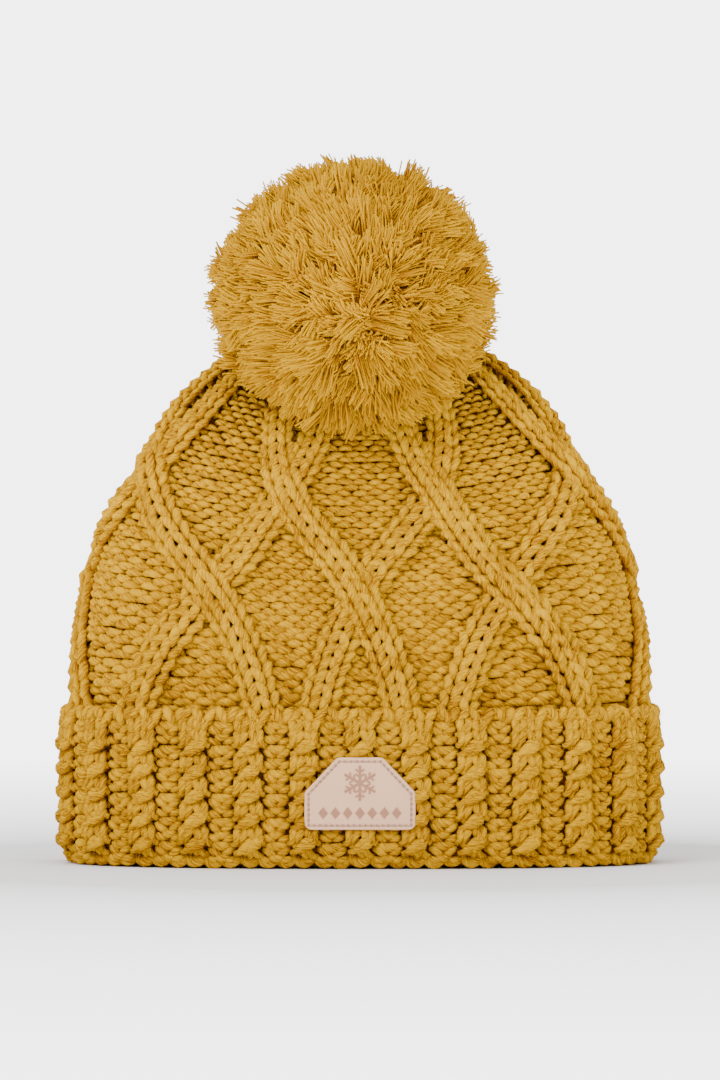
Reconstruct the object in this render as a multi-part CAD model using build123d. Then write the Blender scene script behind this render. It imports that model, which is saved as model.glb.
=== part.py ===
from build123d import *

import os
from math import asin, atan2, ceil, copysign, cos, degrees, hypot, pi, sin

# A knitted beanie that stands on its turned-up brim, with a pom pom tied to the gathered crown.
# Millimetres. +Z is up, the front faces -Y, and the origin is the centre of the head opening,
# in the plane of the brim's lower rim. Its plan is a flattened oval, as of a hat laid flat and
# lightly filled.

# Knitted crown
CROWN_WIDTH = 230.0  # across the side wall
CROWN_DEPTH = 105.0  # front to back of the side wall
CROWN_WALL = 7.0  # chunky knit with its cables
DOME_START = 62.0  # height where the side wall begins to curve in
DOME_RISE = 156.0  # from there to where the curve would close
GATHER_DROP = 3.0  # the flat gathered top lies this far under that
CROWN_TOP = DOME_START + DOME_RISE - GATHER_DROP
PLAN_FLATNESS = 2.4  # exponent of the plan's oval; 2 is an ellipse
WIDTH_FULLNESS = 2.3  # exponent of the dome's profile seen from the front
DEPTH_FULLNESS = 2.0  # exponent of the dome's profile seen from the side

# Turned-up brim
BRIM_WALL = 7.5
BRIM_HEIGHT = 65.0
BRIM_FOLD = 8.0  # height of the fold that the crown's wall stands on
BRIM_ROUNDING = 3.5  # roll of the brim's upper and lower outer edges

# Fleece lining band
FLEECE_THICKNESS = 2.5
FLEECE_BOTTOM = 4.0
FLEECE_EASE = 2.0  # its top edge lies this far under the start of the dome
FLEECE_TOP = DOME_START - FLEECE_EASE
FLEECE_THREAD = 1.6  # height of the row of stitches on its top edge

# Seam inside the back of the crown
SEAM_WIDTH = 4.0
SEAM_DEPTH = 2.0

# Gathered top and the pom pom's tie
GATHER_OUTER = 8.5
GATHER_INNER = 5.5
GATHER_HEIGHT = 1.8
TIE_RADIUS = 2.6
TIE_CLEARANCE = 0.4  # between the tie and the crown's top
KNOT_RADIUS = 4.5
KNOT_DROP = 7.0  # height of the knot under the crown's top

# Pom pom
POM_RADIUS = 59.0
POM_LEAN = 22.0  # how far its centre stands forward of the tie
POM_LIFT = 10.0  # and above it
POM_OFFSET = -3.0  # and to the side
POM_CLEARANCE = 3.0  # between the pom pom and the crown's front at rest
BINDING_RADIUS = 7.0
BINDING_YARN = 2.2
BINDING_CLEARANCE = 0.3
NOD_FORWARD = 4.0  # degrees, until its strands are pressed to the crown
NOD_BACK = 25.0  # degrees
SWAY = 12.0  # degrees each way
SWING_ROOM = 2.0  # clearance that is left at the limits
SHOULDER = 38.0  # how far out the crown's shoulder first meets a swaying pom pom

# Leather patch on the brim's front
PATCH_WIDTH = 44.5
PATCH_HEIGHT = 29.0
PATCH_BOTTOM = 16.0
PATCH_THICKNESS = 1.6
PATCH_TOP_WIDTH = 18.0  # top edge, between the cut corners
PATCH_SIDE_HEIGHT = 15.0  # side edge, up to the cut corners
PATCH_CORNER = 3.0
STITCH_INSET = 1.7
STITCH_PITCH = 2.4
STITCH_LENGTH = 1.6
STITCH_THREAD = 0.5

# Care label
LABEL_WIDTH = 25.0
LABEL_DROP = 36.0
LABEL_THICKNESS = 0.8
LABEL_INSET = 2.5  # its top edge lies this far under the lining's
LABEL_TOP = FLEECE_TOP - LABEL_INSET
LABEL_CLEARANCE = 0.4
LABEL_STITCH = 1.2

OUTLINE_POINTS = 32
DOME_LEVELS = 8

TIE_PIVOT = (0.0, 0.0, CROWN_TOP + TIE_CLEARANCE + TIE_RADIUS)
POM_CENTRE = (
    TIE_PIVOT[0] + POM_OFFSET,
    TIE_PIVOT[1] - POM_LEAN,
    TIE_PIVOT[2] + POM_LIFT,
)


def oval(half_x, half_y, z):
    """Flattened oval |x/a|^n + |y/b|^n = 1, as a face at height z."""
    points = []
    for i in range(OUTLINE_POINTS):
        turn = 2 * pi * i / OUTLINE_POINTS
        x = copysign(abs(cos(turn)) ** (2 / PLAN_FLATNESS), cos(turn))
        y = copysign(abs(sin(turn)) ** (2 / PLAN_FLATNESS), sin(turn))
        points.append((half_x * x, half_y * y, z))
    return make_face(Spline(points, periodic=True))


def oval_prism(half_x, half_y, low, high):
    """Upright wall of the oval, from one height to the other."""
    return extrude(oval(half_x, half_y, low), high - low, dir=(0, 0, 1))


def crown_half(inset):
    """Half width and half depth of the crown's side wall, that far inside its outer face."""
    return CROWN_WIDTH / 2 - inset, CROWN_DEPTH / 2 - inset


def dome_half_depth(z, inset=0.0):
    """Half depth of the dome at height z, that far inside its outer face."""
    rise = (z - DOME_START) / (DOME_RISE - inset)
    return crown_half(inset)[1] * (1 - rise**2) ** (1 / DEPTH_FULLNESS)


def dome(inset):
    """Dome that far inside the crown's outer face: ovals that shrink along two power curves."""
    half_x, half_y = crown_half(inset)
    height = DOME_RISE - inset
    last = asin((CROWN_TOP - inset - DOME_START) / height)
    ovals = []
    for i in range(DOME_LEVELS + 1):
        rise = sin(last * i / DOME_LEVELS)
        shrink = 1 - rise**2
        ovals.append(
            oval(
                half_x * shrink ** (1 / WIDTH_FULLNESS),
                half_y * shrink ** (1 / DEPTH_FULLNESS),
                DOME_START + height * rise,
            )
        )
    return loft(ovals)


def crown_core(inset, bottom):
    """Side wall and dome as one closed solid, that far inside the crown's outer face."""
    return oval_prism(*crown_half(inset), bottom, DOME_START) + dome(inset)


def make_crown_body():
    outside = crown_core(0.0, BRIM_FOLD)
    inside = crown_core(CROWN_WALL, BRIM_FOLD)
    return outside - inside


def make_turned_up_brim():
    half_x, half_y = crown_half(-BRIM_WALL)
    outside = oval_prism(half_x, half_y, 0, BRIM_HEIGHT)
    rims = outside.edges().filter_by(GeomType.BSPLINE)
    outside = fillet(rims.group_by(Axis.Z)[0] + rims.group_by(Axis.Z)[-1], BRIM_ROUNDING)
    wall_space = oval_prism(*crown_half(0.0), BRIM_FOLD, BRIM_HEIGHT)
    opening = oval_prism(*crown_half(CROWN_WALL), 0, BRIM_HEIGHT)
    return outside - wall_space - opening


def lining_ring(thickness, bottom, top):
    """Ring of that thickness against the inside of the crown's wall."""
    outside = oval_prism(*crown_half(CROWN_WALL), bottom, top)
    return outside - oval_prism(*crown_half(CROWN_WALL + thickness), bottom, top)


def make_back_seam_yarn():
    """Strip of joining yarn on the inside of the dome, along the middle of its back."""
    skin = dome(CROWN_WALL) - dome(CROWN_WALL + SEAM_DEPTH)
    top = CROWN_TOP - CROWN_WALL - SEAM_DEPTH
    strip = Pos(0, CROWN_DEPTH / 2, (DOME_START + top) / 2) * Box(
        SEAM_WIDTH, CROWN_DEPTH, top - DOME_START
    )
    return skin & strip


def make_crown_gather_yarn():
    ring = Cylinder(GATHER_OUTER, GATHER_HEIGHT) - Cylinder(GATHER_INNER, GATHER_HEIGHT)
    ring = fillet(ring.edges().group_by(Axis.Z)[-1], GATHER_HEIGHT / 3)
    return Pos(0, 0, CROWN_TOP + GATHER_HEIGHT / 2) * ring


def make_inner_tie_knot():
    """Ball of knotted tails, flat where it bears on the inside of the crown's top."""
    ceiling = CROWN_TOP - CROWN_WALL
    ball = Pos(0, 0, ceiling - KNOT_DROP + KNOT_RADIUS) * Sphere(KNOT_RADIUS)
    above = Pos(0, 0, ceiling + KNOT_RADIUS) * Box(
        3 * KNOT_RADIUS, 3 * KNOT_RADIUS, 2 * KNOT_RADIUS
    )
    return ball - above


def tie_line():
    """Line from the tie's pivot to the middle of the pom pom, as a line that parts are set on."""
    return Line(TIE_PIVOT, POM_CENTRE)


def rod_on_tie_line(radius, length):
    """Round rod of that radius, from the tie's pivot towards the pom pom."""
    return extrude((tie_line() ^ 0) * Circle(radius), length)


def make_pom_tie_cord():
    """Ball end at the pivot and a stalk that stops just short of the binding."""
    reach = tie_line().length - BINDING_RADIUS - BINDING_YARN - BINDING_CLEARANCE
    return Pos(*TIE_PIVOT) * Sphere(TIE_RADIUS) + rod_on_tie_line(TIE_RADIUS, reach)


def make_binding(extra):
    """Ring of yarn round the middle of the strands, its hole facing sideways."""
    ring = Torus(BINDING_RADIUS, BINDING_YARN + extra)
    return Pos(*POM_CENTRE) * Rot(0, 90, 0) * ring


def crown_room():
    """Wedge that the crown's top takes out of the pom pom.

    Its front face follows the crown's front, and its roof and back face leave room for the
    pom pom to nod and to sway, which lifts the crown's shoulders towards it.
    """
    lift = SHOULDER * sin(SWAY * pi / 180)
    roof = TIE_PIVOT[2] + SWING_ROOM + lift / 2
    floor = POM_CENTRE[2] - POM_RADIUS - SWING_ROOM
    front = []
    for part in (0.0, 0.3, 0.55, 0.75, 0.9, 1.0):
        z = floor + (CROWN_TOP - floor) * part
        forward = (TIE_PIVOT[2] - z) * sin(NOD_FORWARD * pi / 180)
        front.append((-dome_half_depth(z - lift) - POM_CLEARANCE - forward, z))
    roof_front = (-dome_half_depth(CROWN_TOP) - SWING_ROOM - lift, roof)
    roof_back = (dome_half_depth(CROWN_TOP), roof)
    back_rise = POM_RADIUS * sin(NOD_BACK * pi / 180)
    back_top = (roof_back[0] + POM_RADIUS, roof + back_rise)
    outline = front + [roof_front, roof_back, back_top, (2 * POM_RADIUS, floor)]
    profile = make_face(Polyline([(0, y, z) for y, z in outline], close=True))
    return extrude(profile, 2 * POM_RADIUS, both=True)


def make_pom_pom():
    ball = Pos(*POM_CENTRE) * Sphere(POM_RADIUS)
    sway_room = POM_LIFT * sin(SWAY * pi / 180) + BINDING_CLEARANCE
    channel = rod_on_tie_line(TIE_RADIUS + sway_room, tie_line().length)
    return ball - crown_room() - channel - make_binding(BINDING_CLEARANCE)


def patch_corners(inset):
    """The patch's outline, that far in from its edge: six corners, the upper two pairs cut."""
    half = PATCH_WIDTH / 2
    cut_run = half - PATCH_TOP_WIDTH / 2
    cut_drop = PATCH_HEIGHT - PATCH_SIDE_HEIGHT
    slope = atan2(cut_drop, cut_run)
    side = PATCH_SIDE_HEIGHT - inset * (1 - sin(slope)) / cos(slope)
    top = PATCH_TOP_WIDTH / 2 - inset * (1 - cos(slope)) / sin(slope)
    left = [(inset - half, inset), (inset - half, side), (-top, PATCH_HEIGHT - inset)]
    right = [(-x, z) for x, z in reversed(left)]
    return [(x, z + PATCH_BOTTOM) for x, z in left + right]


def brim_skin(low, high):
    """Thin skin in front of the brim's outer face, between those two distances from it."""
    outside = oval_prism(*crown_half(-BRIM_WALL - high), 0, BRIM_HEIGHT)
    return outside - oval_prism(*crown_half(-BRIM_WALL - low), 0, BRIM_HEIGHT)


def front_prism(face):
    """Straight block in front of the hat, of an outline drawn on the XZ plane."""
    return extrude(face, CROWN_DEPTH, dir=(0, -1, 0))


def make_leather_patch():
    outline = Polyline([(x, 0, z) for x, z in patch_corners(0.0)], close=True)
    block = front_prism(make_face(outline))
    upright = block.edges().filter_by(Axis.Y)
    return fillet(upright, PATCH_CORNER) & brim_skin(0.0, PATCH_THICKNESS)


def make_patch_stitching():
    """Short stitches along a line that runs inside the patch's edge, one solid each."""
    corners = patch_corners(STITCH_INSET)
    skin = brim_skin(PATCH_THICKNESS, PATCH_THICKNESS + STITCH_THREAD)
    slots = []
    for (x0, z0), (x1, z1) in zip(corners, corners[1:] + corners[:1]):
        run = hypot(x1 - x0, z1 - z0)
        count = ceil(run / STITCH_PITCH)
        for i in range(count):
            along = (i + 0.5) / count
            place = Pos(x0 + (x1 - x0) * along, -CROWN_DEPTH, z0 + (z1 - z0) * along)
            tilt = Rot(0, -degrees(atan2(z1 - z0, x1 - x0)), 0)
            slots.append(place * tilt * Box(STITCH_LENGTH, CROWN_DEPTH * 1.5, STITCH_THREAD))
    return [piece for slot in slots for piece in (slot & skin).solids()]


def label_back():
    """Y of the care label's face that lies along the fleece."""
    return crown_half(CROWN_WALL + FLEECE_THICKNESS)[1] - LABEL_CLEARANCE


def make_care_label():
    y = label_back() - LABEL_THICKNESS / 2
    label = Box(LABEL_WIDTH, LABEL_THICKNESS, LABEL_DROP)
    fold = label.edges().filter_by(Axis.X).group_by(Axis.Z)[0]
    label = fillet(fold, LABEL_THICKNESS / 3)
    return Pos(0, y, LABEL_TOP - LABEL_DROP / 2) * label


def make_care_label_stitching():
    """Bar of stitches above the label, from the fleece to the label's front face."""
    fleece = crown_half(CROWN_WALL + FLEECE_THICKNESS)[1]
    front = label_back() - LABEL_THICKNESS
    bottom = LABEL_TOP + LABEL_CLEARANCE
    bar = Pos(0, fleece, bottom + LABEL_STITCH / 2) * Box(
        LABEL_WIDTH, 2 * (fleece - front), LABEL_STITCH
    )
    return bar & oval_prism(*crown_half(CROWN_WALL + FLEECE_THICKNESS), 0, FLEECE_TOP)


os.makedirs("parts", exist_ok=True)
export_step(make_crown_body(), "parts/crown_body.step")
export_step(make_turned_up_brim(), "parts/turned_up_brim.step")
export_step(make_crown_gather_yarn(), "parts/crown_gather_yarn.step")
export_step(make_back_seam_yarn(), "parts/back_seam_yarn.step")
export_step(make_inner_tie_knot(), "parts/inner_tie_knot.step")
export_step(make_pom_tie_cord(), "parts/pom_tie_cord.step")
export_step(make_binding(0.0), "parts/pom_binding.step")
export_step(make_pom_pom(), "parts/pom_pom.step")
export_step(lining_ring(FLEECE_THICKNESS, FLEECE_BOTTOM, FLEECE_TOP), "parts/fleece_band.step")
export_step(
    lining_ring(FLEECE_THICKNESS, FLEECE_TOP, FLEECE_TOP + FLEECE_THREAD),
    "parts/fleece_band_stitching.step",
)
export_step(make_leather_patch(), "parts/leather_patch.step")
export_step(Compound(children=make_patch_stitching()), "parts/patch_stitching.step")
export_step(make_care_label(), "parts/care_label.step")
export_step(make_care_label_stitching(), "parts/care_label_stitching.step")
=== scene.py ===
import math

import bpy
import numpy as np
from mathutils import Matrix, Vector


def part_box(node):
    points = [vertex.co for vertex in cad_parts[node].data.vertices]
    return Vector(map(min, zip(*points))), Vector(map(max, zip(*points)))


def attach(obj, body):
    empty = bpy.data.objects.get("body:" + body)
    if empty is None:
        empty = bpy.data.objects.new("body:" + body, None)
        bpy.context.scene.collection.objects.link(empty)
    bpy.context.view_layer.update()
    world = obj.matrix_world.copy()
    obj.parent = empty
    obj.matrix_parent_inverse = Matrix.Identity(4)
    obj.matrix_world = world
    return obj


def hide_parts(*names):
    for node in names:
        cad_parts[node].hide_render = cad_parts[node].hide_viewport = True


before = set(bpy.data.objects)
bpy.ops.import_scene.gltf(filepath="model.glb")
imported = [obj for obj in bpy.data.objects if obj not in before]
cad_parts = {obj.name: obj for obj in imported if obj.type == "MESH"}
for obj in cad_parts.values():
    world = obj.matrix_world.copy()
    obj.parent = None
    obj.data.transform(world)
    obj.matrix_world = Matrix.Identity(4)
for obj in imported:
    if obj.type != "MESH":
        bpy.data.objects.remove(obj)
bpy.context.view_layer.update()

bl_info = {
    "name": "Pom Pom Beanie",
    "version": (1, 0, 0),
    "blender": (4, 5, 0),
    "location": "3D View > Sidebar > Beanie",
    "description": "Cable-knit beanie with a yarn pom pom, made round its packed CAD frame",
    "category": "Add Mesh",
}

# Lengths in the shape functions are millimetres, as in the CAD, and become metres in the meshes.
MM = 0.001
TAU = 2 * math.pi


def node_box(node):
    """A CAD node's lowest and highest corners, in millimetres."""
    low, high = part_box(node)
    return np.array(low) / MM, np.array(high) / MM


CROWN_HIGH = node_box("crown_body")[1]
BRIM_HIGH = node_box("turned_up_brim")[1]
POM_LOW, POM_HIGH = node_box("pom_pom")
PATCH_LOW, PATCH_HIGH = node_box("leather_patch")
FLEECE_LOW, FLEECE_HIGH = node_box("fleece_band")
BINDING_LOW, BINDING_HIGH = node_box("pom_binding")

# The oval plan and the dome's two power curves, as in the CAD
PLAN_FLATNESS = 2.4
WIDTH_FULLNESS = 2.3
DEPTH_FULLNESS = 2.0
DOME_START = 62.0
DOME_RISE = 156.0
CROWN_WALL = 7.0

# Crown knitting
WALES = 72
FIRST_ROW_HEIGHT = 55.0
LAST_ROW_HEIGHT = 216.5
ROWS = 36
CROSSINGS_ROUND = 8
CROSSING_HEIGHT = 109.0  # of the lower ring of crossings, at the front
UPPER_CROSSING_HEIGHT = 152.0
FULL_GIRTH = 480.0  # round the crown, where the cables have their full width
FULL_PITCH = 7.2  # width of a wale whose yarn isn't thinned

# Brim knitting
BRIM_REPEATS = 27
BRIM_ROLL = 4.6  # height of the knit's roll over the brim's two edges
FOLD_HALF = 7.25  # half the thickness of the fold at the brim's lower edge
EDGE_HALF = 3.75  # and of the single knit at its upper edge
TWIST_PITCH = 9.75
FIRST_TWIST = 9.0
TWISTS = 5
DRAWN_BRIM_RADIUS = 1.75  # of the yarn that the pattern's radii are drawn for

# Pom pom and tie
POM_YARNS_IN_LOCK = 8
TIE_CLEARANCE = 0.4
TIE_RADIUS = 2.6
TIE_POINT = np.array([0.0, 0.0, CROWN_HIGH[2] + TIE_CLEARANCE + TIE_RADIUS])
POM_MIDDLE = (BINDING_LOW + BINDING_HIGH) / 2


# ---------------------------------------------------------------- settings


class BeanieYarn(bpy.types.PropertyGroup):
    ground_radius: bpy.props.FloatProperty(
        name="Ground yarn", description="Radius of the yarn in the crown's ground",
        default=1.45 * MM, unit="LENGTH",
    )
    cable_radius: bpy.props.FloatProperty(
        name="Cable yarn", description="Radius of the yarn in the cables",
        default=1.92 * MM, unit="LENGTH",
    )
    brim_radius: bpy.props.FloatProperty(
        name="Brim yarn", description="Radius of the yarn in the brim",
        default=1.75 * MM, unit="LENGTH",
    )
    # light and dark are painted light and shade: light is the painted highlight on raised fibres and on
    # the strands' outward side, dark the painted shade between fibres, on the strands' hidden side and,
    # darkened further, in the knit backing.
    light: bpy.props.FloatVectorProperty(
        name="Yarn, light", description="Colour of the yarn's raised fibres",
        default=(0.74, 0.395, 0.0), subtype="COLOR", size=3,
    )
    dark: bpy.props.FloatVectorProperty(
        name="Yarn, dark", description="Colour between the fibres",
        default=(0.25, 0.08, 0.0), subtype="COLOR", size=3,
    )


class BeaniePom(bpy.types.PropertyGroup):
    strands: bpy.props.IntProperty(
        name="Strands", description="Number of cut yarn ends in the pom pom", default=8400
    )
    strand_radius: bpy.props.FloatProperty(
        name="Ply radius", description="Radius of one ply of a cut yarn",
        default=0.55 * MM, unit="LENGTH",
    )
    # tip and root are painted light and shade: the pale tip is the lit end, the deep orange root the shade
    # deep in the ball.
    tip: bpy.props.FloatVectorProperty(
        name="Tip", description="Colour of the frayed ends",
        default=(0.66, 0.345, 0.0), subtype="COLOR", size=3,
    )
    root: bpy.props.FloatVectorProperty(
        name="Root", description="Colour deep in the pom pom",
        default=(0.36, 0.135, 0.0), subtype="COLOR", size=3,
    )


class BeaniePatch(bpy.types.PropertyGroup):
    leather: bpy.props.FloatVectorProperty(
        name="Leather", description="Colour of the patch",
        default=(0.88, 0.53, 0.32), subtype="COLOR", size=3,
    )
    pressed: bpy.props.FloatVectorProperty(
        name="Pressed leather", description="Colour where the motif is pressed in",
        default=(0.36, 0.16, 0.10), subtype="COLOR", size=3,
    )


# ---------------------------------------------------------------- surfaces


def unit(vectors):
    """Vectors at length one, along the last axis."""
    return vectors / np.maximum(np.linalg.norm(vectors, axis=-1, keepdims=True), 1e-12)


def power(values, exponent):
    """|v|^exponent with v's sign."""
    return np.sign(values) * np.abs(values) ** exponent


class OvalWall:
    """Oval wall that closes in a dome.

    At a height the plan is |x/a|^n + |y/b|^n = 1. Above dome_start, a and b are their values at
    the wall times (1 - rise^2)^(1/fullness), where rise is 0 at dome_start and 1 at the apex.
    A place is (turn, height): turn is the share of the girth from the middle of the front,
    counted towards +X.
    """

    RATIOS = np.linspace(0.1, 0.9, 41)
    STEPS = 1440

    def __init__(self, half_width, half_depth, dome_start=math.inf, dome_rise=1.0):
        self.half_width = half_width
        self.half_depth = half_depth
        self.dome_start = dome_start
        self.dome_rise = dome_rise
        angle = np.linspace(0, TAU, 4 * self.STEPS + 1)
        x = power(np.sin(angle), 2 / PLAN_FLATNESS)[None, :]
        y = power(-np.cos(angle), 2 / PLAN_FLATNESS)[None, :] * self.RATIOS[:, None]
        step = np.hypot(np.diff(np.broadcast_to(x, y.shape), axis=1), np.diff(y, axis=1))
        length = np.concatenate([np.zeros((len(y), 1)), np.cumsum(step, axis=1)], axis=1)
        turn = np.linspace(0, 1, self.STEPS + 1)
        share = length / length[:, -1:]
        self.x_table = np.array([np.interp(turn, s, x[0]) for s in share])
        self.y_table = np.array([np.interp(turn, s, v) for s, v in zip(share, y)])
        self.girth_table = length[:, -1]

    def half_sizes(self, height):
        """Half width and half depth of the plan at a height."""
        rise = np.clip((height - self.dome_start) / self.dome_rise, 0, 0.99999)
        shrink = 1 - rise**2
        return (
            self.half_width * shrink ** (1 / WIDTH_FULLNESS),
            self.half_depth * shrink ** (1 / DEPTH_FULLNESS),
        )

    def girth(self, height):
        """Length round the plan at a height."""
        a, b = self.half_sizes(height)
        return a * np.interp(b / a, self.RATIOS, self.girth_table)

    def place(self, turn, height):
        """Point and outward normal at (turn, height)."""
        turn, height = np.broadcast_arrays(turn, height)
        a, b = self.half_sizes(height)
        ratio = (b / a - self.RATIOS[0]) / (self.RATIOS[1] - self.RATIOS[0])
        row = np.clip(ratio.astype(int), 0, len(self.RATIOS) - 2)
        row_part = ratio - row
        step = np.mod(turn, 1.0) * self.STEPS
        column = np.minimum(step.astype(int), self.STEPS - 1)
        part = step - column

        def read(table):
            low = table[row, column] * (1 - part) + table[row, column + 1] * part
            high = table[row + 1, column] * (1 - part) + table[row + 1, column + 1] * part
            return low * (1 - row_part) + high * row_part

        x = a * read(self.x_table)
        y = a * read(self.y_table)
        rise = np.clip((height - self.dome_start) / self.dome_rise, 0, 0.99999)
        slope = -2 * rise / (self.dome_rise * (1 - rise**2))
        across, deep = np.abs(x / a), np.abs(y / b)
        normal = np.stack(
            [
                power(x / a, PLAN_FLATNESS - 1) / a,
                power(y / b, PLAN_FLATNESS - 1) / b,
                -slope
                * (
                    across**PLAN_FLATNESS / WIDTH_FULLNESS
                    + deep**PLAN_FLATNESS / DEPTH_FULLNESS
                ),
            ],
            axis=-1,
        )
        return np.stack([x, y, height], axis=-1), unit(normal)


CROWN = OvalWall(CROWN_HIGH[0], CROWN_HIGH[1], DOME_START, DOME_RISE)
BRIM = OvalWall(BRIM_HIGH[0], BRIM_HIGH[1])
BRIM_TOP = BRIM_HIGH[2]


class RowGrid:
    """Heights of the crown's knitted rows.

    A row is a share of the meridian's own length, so rows rise towards the sides, where the
    meridian is longer. Rows are taller just above the brim and short between the crossings.
    """

    TURNS = 97
    LEVELS = 400

    def __init__(self):
        turn = np.linspace(0, 1, self.TURNS)
        level = FIRST_ROW_HEIGHT + (LAST_ROW_HEIGHT - FIRST_ROW_HEIGHT) * np.sin(
            np.linspace(0, math.pi / 2, self.LEVELS)
        )
        points, _ = CROWN.place(turn[:, None], level[None, :])
        step = np.linalg.norm(np.diff(points, axis=1), axis=-1)
        length = np.concatenate([np.zeros((len(turn), 1)), np.cumsum(step, axis=1)], axis=1)
        rows = np.linspace(0, ROWS, 4 * ROWS + 1)
        height = 1.12 - 0.2 / (1 + np.exp(-(rows - 9) / 1.5)) + 0.1 / (1 + np.exp(-(rows - 22) / 2))
        share = np.concatenate([[0], np.cumsum(height[1:])]) / np.sum(height[1:])
        self.table = np.array(
            [np.interp(share * long[-1], long, level) for long in length]
        )

    def height(self, turn, row):
        """Height of a row, which may be a part row, at a turn."""
        turn, row = np.broadcast_arrays(turn, row)
        column = np.mod(turn, 1.0) * (self.TURNS - 1)
        line = np.clip(row, 0, ROWS) * 4
        i = np.minimum(column.astype(int), self.TURNS - 2)
        j = np.minimum(line.astype(int), 4 * ROWS - 1)
        s, t = column - i, line - j
        table = self.table
        return (table[i, j] * (1 - s) + table[i + 1, j] * s) * (1 - t) + (
            table[i, j + 1] * (1 - s) + table[i + 1, j + 1] * s
        ) * t

    def row_at(self, turn, height):
        """Row whose height at that turn is the one given."""
        rows = np.linspace(0, ROWS, 400)
        return float(np.interp(height, self.height(np.full(400, turn), rows), rows))


GRID = RowGrid()
LOWER_CROSSING = GRID.row_at(0.0, CROSSING_HEIGHT)
UPPER_CROSSING = GRID.row_at(0.5 / CROSSINGS_ROUND, UPPER_CROSSING_HEIGHT)


def spread(turn, row):
    """Share of the girth where a wale lies, from its share of the wales.

    The knit is a little denser at the front and back and stretched at the sides, by a sum of
    sines whose sizes change between the two rings of crossings.
    """
    part = np.clip((row - LOWER_CROSSING) / (UPPER_CROSSING - LOWER_CROSSING), 0, 1)
    part = part * part * (3 - 2 * part)
    moved = turn
    for times, low, high in ((1, 0.0155, 0.0185), (2, -0.017, -0.008), (3, -0.0085, 0.0)):
        moved = moved + (low + (high - low) * part) * np.sin(times * TAU * turn)
    return moved


def on_crown(share, row, lift):
    """Point and normal on the crown at a share of the girth and a row, raised by lift."""
    points, normals = CROWN.place(share, GRID.height(share, row))
    return points + normals * lift[..., None], normals


BRIM_FACE_START = BRIM_ROLL * math.pi / 2 - BRIM_ROLL


def on_brim(turn, reach, lift):
    """Point and normal on the brim.

    reach is the length up the knit from the middle of the lower fold: a quarter turn under it,
    the upright face, and half a turn over the top edge. It is negative inside the fold.
    """
    turn, reach, lift = np.broadcast_arrays(turn, reach, lift)
    quarter = BRIM_ROLL * math.pi / 2
    face = BRIM_TOP - 2 * BRIM_ROLL
    low = np.clip(reach / BRIM_ROLL, -math.pi / 2, math.pi / 2) - math.pi / 2
    top = np.clip((reach - quarter - face) / BRIM_ROLL, 0, math.pi)
    tilt = low + top  # of the normal: -90 degrees is straight down
    along = np.clip(reach - quarter, 0, face)
    half = np.where(tilt < 0, FOLD_HALF, EDGE_HALF)
    wall, normal = BRIM.place(turn, np.zeros(reach.shape))
    inward = -half + (half + lift) * np.cos(tilt)
    points = wall + normal * inward[..., None]
    points[..., 2] = BRIM_ROLL + along + (BRIM_ROLL + lift) * np.sin(tilt)
    normals = normal * np.cos(tilt)[..., None]
    normals[..., 2] = np.sin(tilt)
    return points, normals


# ---------------------------------------------------------------- meshes


def new_piece(name, points, faces_of, corners, material, body="hat", slot=None):
    """Mesh object from arrays: points in millimetres, face corner counts and corner indices."""
    mesh = bpy.data.meshes.new(name)
    mesh.vertices.add(len(points))
    mesh.vertices.foreach_set("co", (np.asarray(points) * MM).ravel())
    mesh.loops.add(len(corners))
    mesh.loops.foreach_set("vertex_index", corners.astype(np.int32))
    mesh.polygons.add(len(faces_of))
    starts = np.concatenate([[0], np.cumsum(faces_of)[:-1]])
    mesh.polygons.foreach_set("loop_start", starts.astype(np.int32))
    mesh.update(calc_edges=True)
    mesh.polygons.foreach_set("use_smooth", np.ones(len(faces_of), dtype=bool))
    mesh.materials.append(material)
    piece = bpy.data.objects.new(name, mesh)
    bpy.context.scene.collection.objects.link(piece)
    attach(piece, body)
    return piece


def set_attribute(piece, name, values):
    """One number a point, for materials to read."""
    attribute = piece.data.attributes.new(name, "FLOAT", "POINT")
    attribute.data.foreach_set("value", np.asarray(values, dtype=np.float32).ravel())


def set_uv(piece, pairs):
    """UV pair for each face corner."""
    layer = piece.data.uv_layers.new(name="UVMap")
    layer.uv.foreach_set("vector", np.asarray(pairs, dtype=np.float32).ravel())


def ring_piece(name, points, material, **more):
    """Ring of quads over an array of points (section, round, 3), joined both ways.

    UV is the share round the ring and the share along its section.
    """
    rows, columns = points.shape[:2]
    r, c = np.meshgrid(np.arange(rows), np.arange(columns), indexing="ij")
    next_row, next_column = (r + 1) % rows, (c + 1) % columns
    quads = np.stack(
        [
            r * columns + c,
            r * columns + next_column,
            next_row * columns + next_column,
            next_row * columns + c,
        ],
        axis=-1,
    )
    piece = new_piece(
        name, points.reshape(-1, 3), np.full(quads.size // 4, 4), quads.ravel(), material, **more
    )
    u = np.stack([c, c + 1, c + 1, c], axis=-1) / columns
    v = np.stack([r, r, r + 1, r + 1], axis=-1) / rows
    set_uv(piece, np.stack([u, v], axis=-1))
    return piece


def tube_rings(centres, outward, radius, sides, flatten=1.0):
    """Rings of a tube along each line of points.

    centres and outward are (lines, steps, 3) and radius is (lines, steps). A ring point is
    centre + radius (-up cos a + side sin a), with up the outward direction square to the line,
    so a tube's UV seam lies on its hidden side.
    """
    tangent = unit(np.gradient(centres, axis=1))
    side = unit(np.cross(tangent, outward))
    up = np.cross(side, tangent) * flatten
    angle = TAU * np.arange(sides) / sides
    round_it = (
        -up[:, :, None, :] * np.cos(angle)[None, None, :, None]
        + side[:, :, None, :] * np.sin(angle)[None, None, :, None]
    )
    return centres[:, :, None, :] + round_it * radius[:, :, None, None]


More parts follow.
